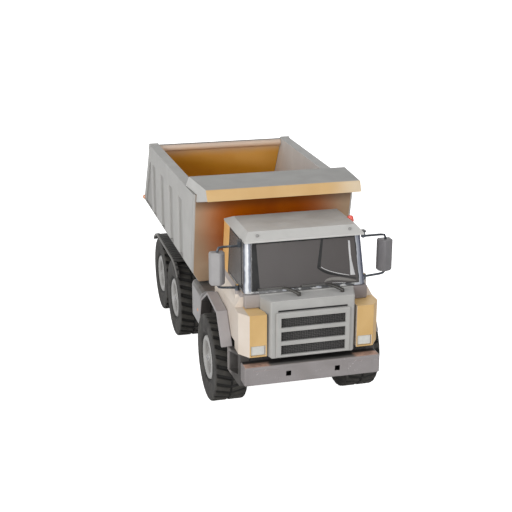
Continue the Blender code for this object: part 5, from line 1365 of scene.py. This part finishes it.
# Hoist: a steel barrel on trunnions, a middle tube and a ram, each sliding in the one below.
# The ram's eye holds the pin under the load body.
for node, body in (("hoist_barrel", "hoist_base"), ("hoist_stage", "hoist_middle"),
                   ("hoist_rod", "hoist_ram")):
    moulded(node, body, steel, 0.0002)

# Studio: a pale floor, soft light from the front left and the photograph's viewing angle.
# The camera's place is measured from the ground under the middle of the bumper's face.
BUMPER_Y = cad_bounds[0][1]
VIEW_FROM = (-0.317505, -0.963645, 0.523335)
VIEW_DOWN = 18.1046
VIEW_TURN = -14.8089
VIEW_LENS = 73.408
FLOOR_REACH = 6.0
FLOOR_DROP = 0.0002


def pale_floor():
    """A matte white sheet that reads as white to the camera and still darkens in the shadow."""
    material, tree, shader, _ = new_finish("pale_floor", 0.9)
    shader.inputs["Base Color"].default_value = (0.9, 0.9, 0.9, 1.0)
    shader.inputs["Specular IOR Level"].default_value = 0.0
    path = tree.nodes.new("ShaderNodeLightPath")
    glow = tree.nodes.new("ShaderNodeEmission")
    glow.inputs["Color"].default_value = (1.0, 1.0, 1.0, 1.0)
    both = tree.nodes.new("ShaderNodeAddShader")
    tree.links.new(path.outputs["Is Camera Ray"], glow.inputs["Strength"])
    tree.links.new(shader.outputs["BSDF"], both.inputs[0])
    tree.links.new(glow.outputs["Emission"], both.inputs[1])
    tree.links.new(both.outputs["Shader"], tree.nodes["Material Output"].inputs["Surface"])
    return material


reach = np.linspace(-FLOOR_REACH, FLOOR_REACH, 2)
floor_points = np.stack(np.broadcast_arrays(reach[:, None], reach[None, :], -FLOOR_DROP), axis=-1)
floor_mesh = bpy.data.meshes.new("studio_floor")
floor_mesh.from_pydata(floor_points.reshape(-1, 3), [], [(0, 2, 3, 1)])
floor_mesh.materials.append(pale_floor())
floor = bpy.data.objects.new("studio_floor", floor_mesh)
bpy.context.scene.collection.objects.link(floor)

world = bpy.data.worlds.new("studio_air")
bpy.context.scene.world = world
world.use_nodes = True
air = world.node_tree
ground = air.nodes["Background"]
ground.inputs["Color"].default_value = (1.0, 1.0, 1.0, 1.0)
seen = air.nodes.new("ShaderNodeLightPath")
direct = arithmetic(air, "MAXIMUM", seen.outputs["Is Camera Ray"], seen.outputs["Is Transmission Ray"])
mirrored = arithmetic(air, "MAXIMUM", direct, seen.outputs["Is Glossy Ray"])
air.links.new(between(air, mirrored, 0.0, 1.0, 0.48, 1.0), ground.inputs["Strength"])


def softbox(name, spot, target, size, power):
    """A square area lamp at a spot, turned to a target."""
    lamp = bpy.data.lights.new(name, "AREA")
    lamp.shape = "SQUARE"
    lamp.size = size
    lamp.energy = power
    holder = bpy.data.objects.new(name, lamp)
    bpy.context.scene.collection.objects.link(holder)
    towards = np.array(target, dtype=float) - np.array(spot, dtype=float)
    holder.location = spot
    flat = math.hypot(towards[0], towards[1])
    holder.rotation_euler = (math.atan2(flat, -towards[2]), 0.0, math.atan2(-towards[0], towards[1]))
    return holder


softbox("key_left", (-1.6, -1.6, 0.95), (0.0, -0.05, 0.12), size=1.2, power=26.0)
softbox("front_low", (0.1, -2.3, 0.75), (0.0, 0.0, 0.15), size=1.0, power=10.0)
softbox("fill_right", (1.6, -1.0, 0.8), (0.0, 0.0, 0.12), size=1.4, power=3.5)
softbox("rear_top", (0.3, 1.4, 1.8), (0.0, 0.05, 0.15), size=1.2, power=4.0)

view = bpy.data.cameras.new("photo_view")
view.sensor_width = 36.0
view.lens = VIEW_LENS
viewer = bpy.data.objects.new("photo_view", view)
bpy.context.scene.collection.objects.link(viewer)
viewer.location = (VIEW_FROM[0], VIEW_FROM[1] + BUMPER_Y, VIEW_FROM[2])
viewer.rotation_euler = (math.radians(90.0 - VIEW_DOWN), 0.0, math.radians(VIEW_TURN))
bpy.context.scene.camera = viewer
bpy.context.scene.view_settings.view_transform = "Standard"
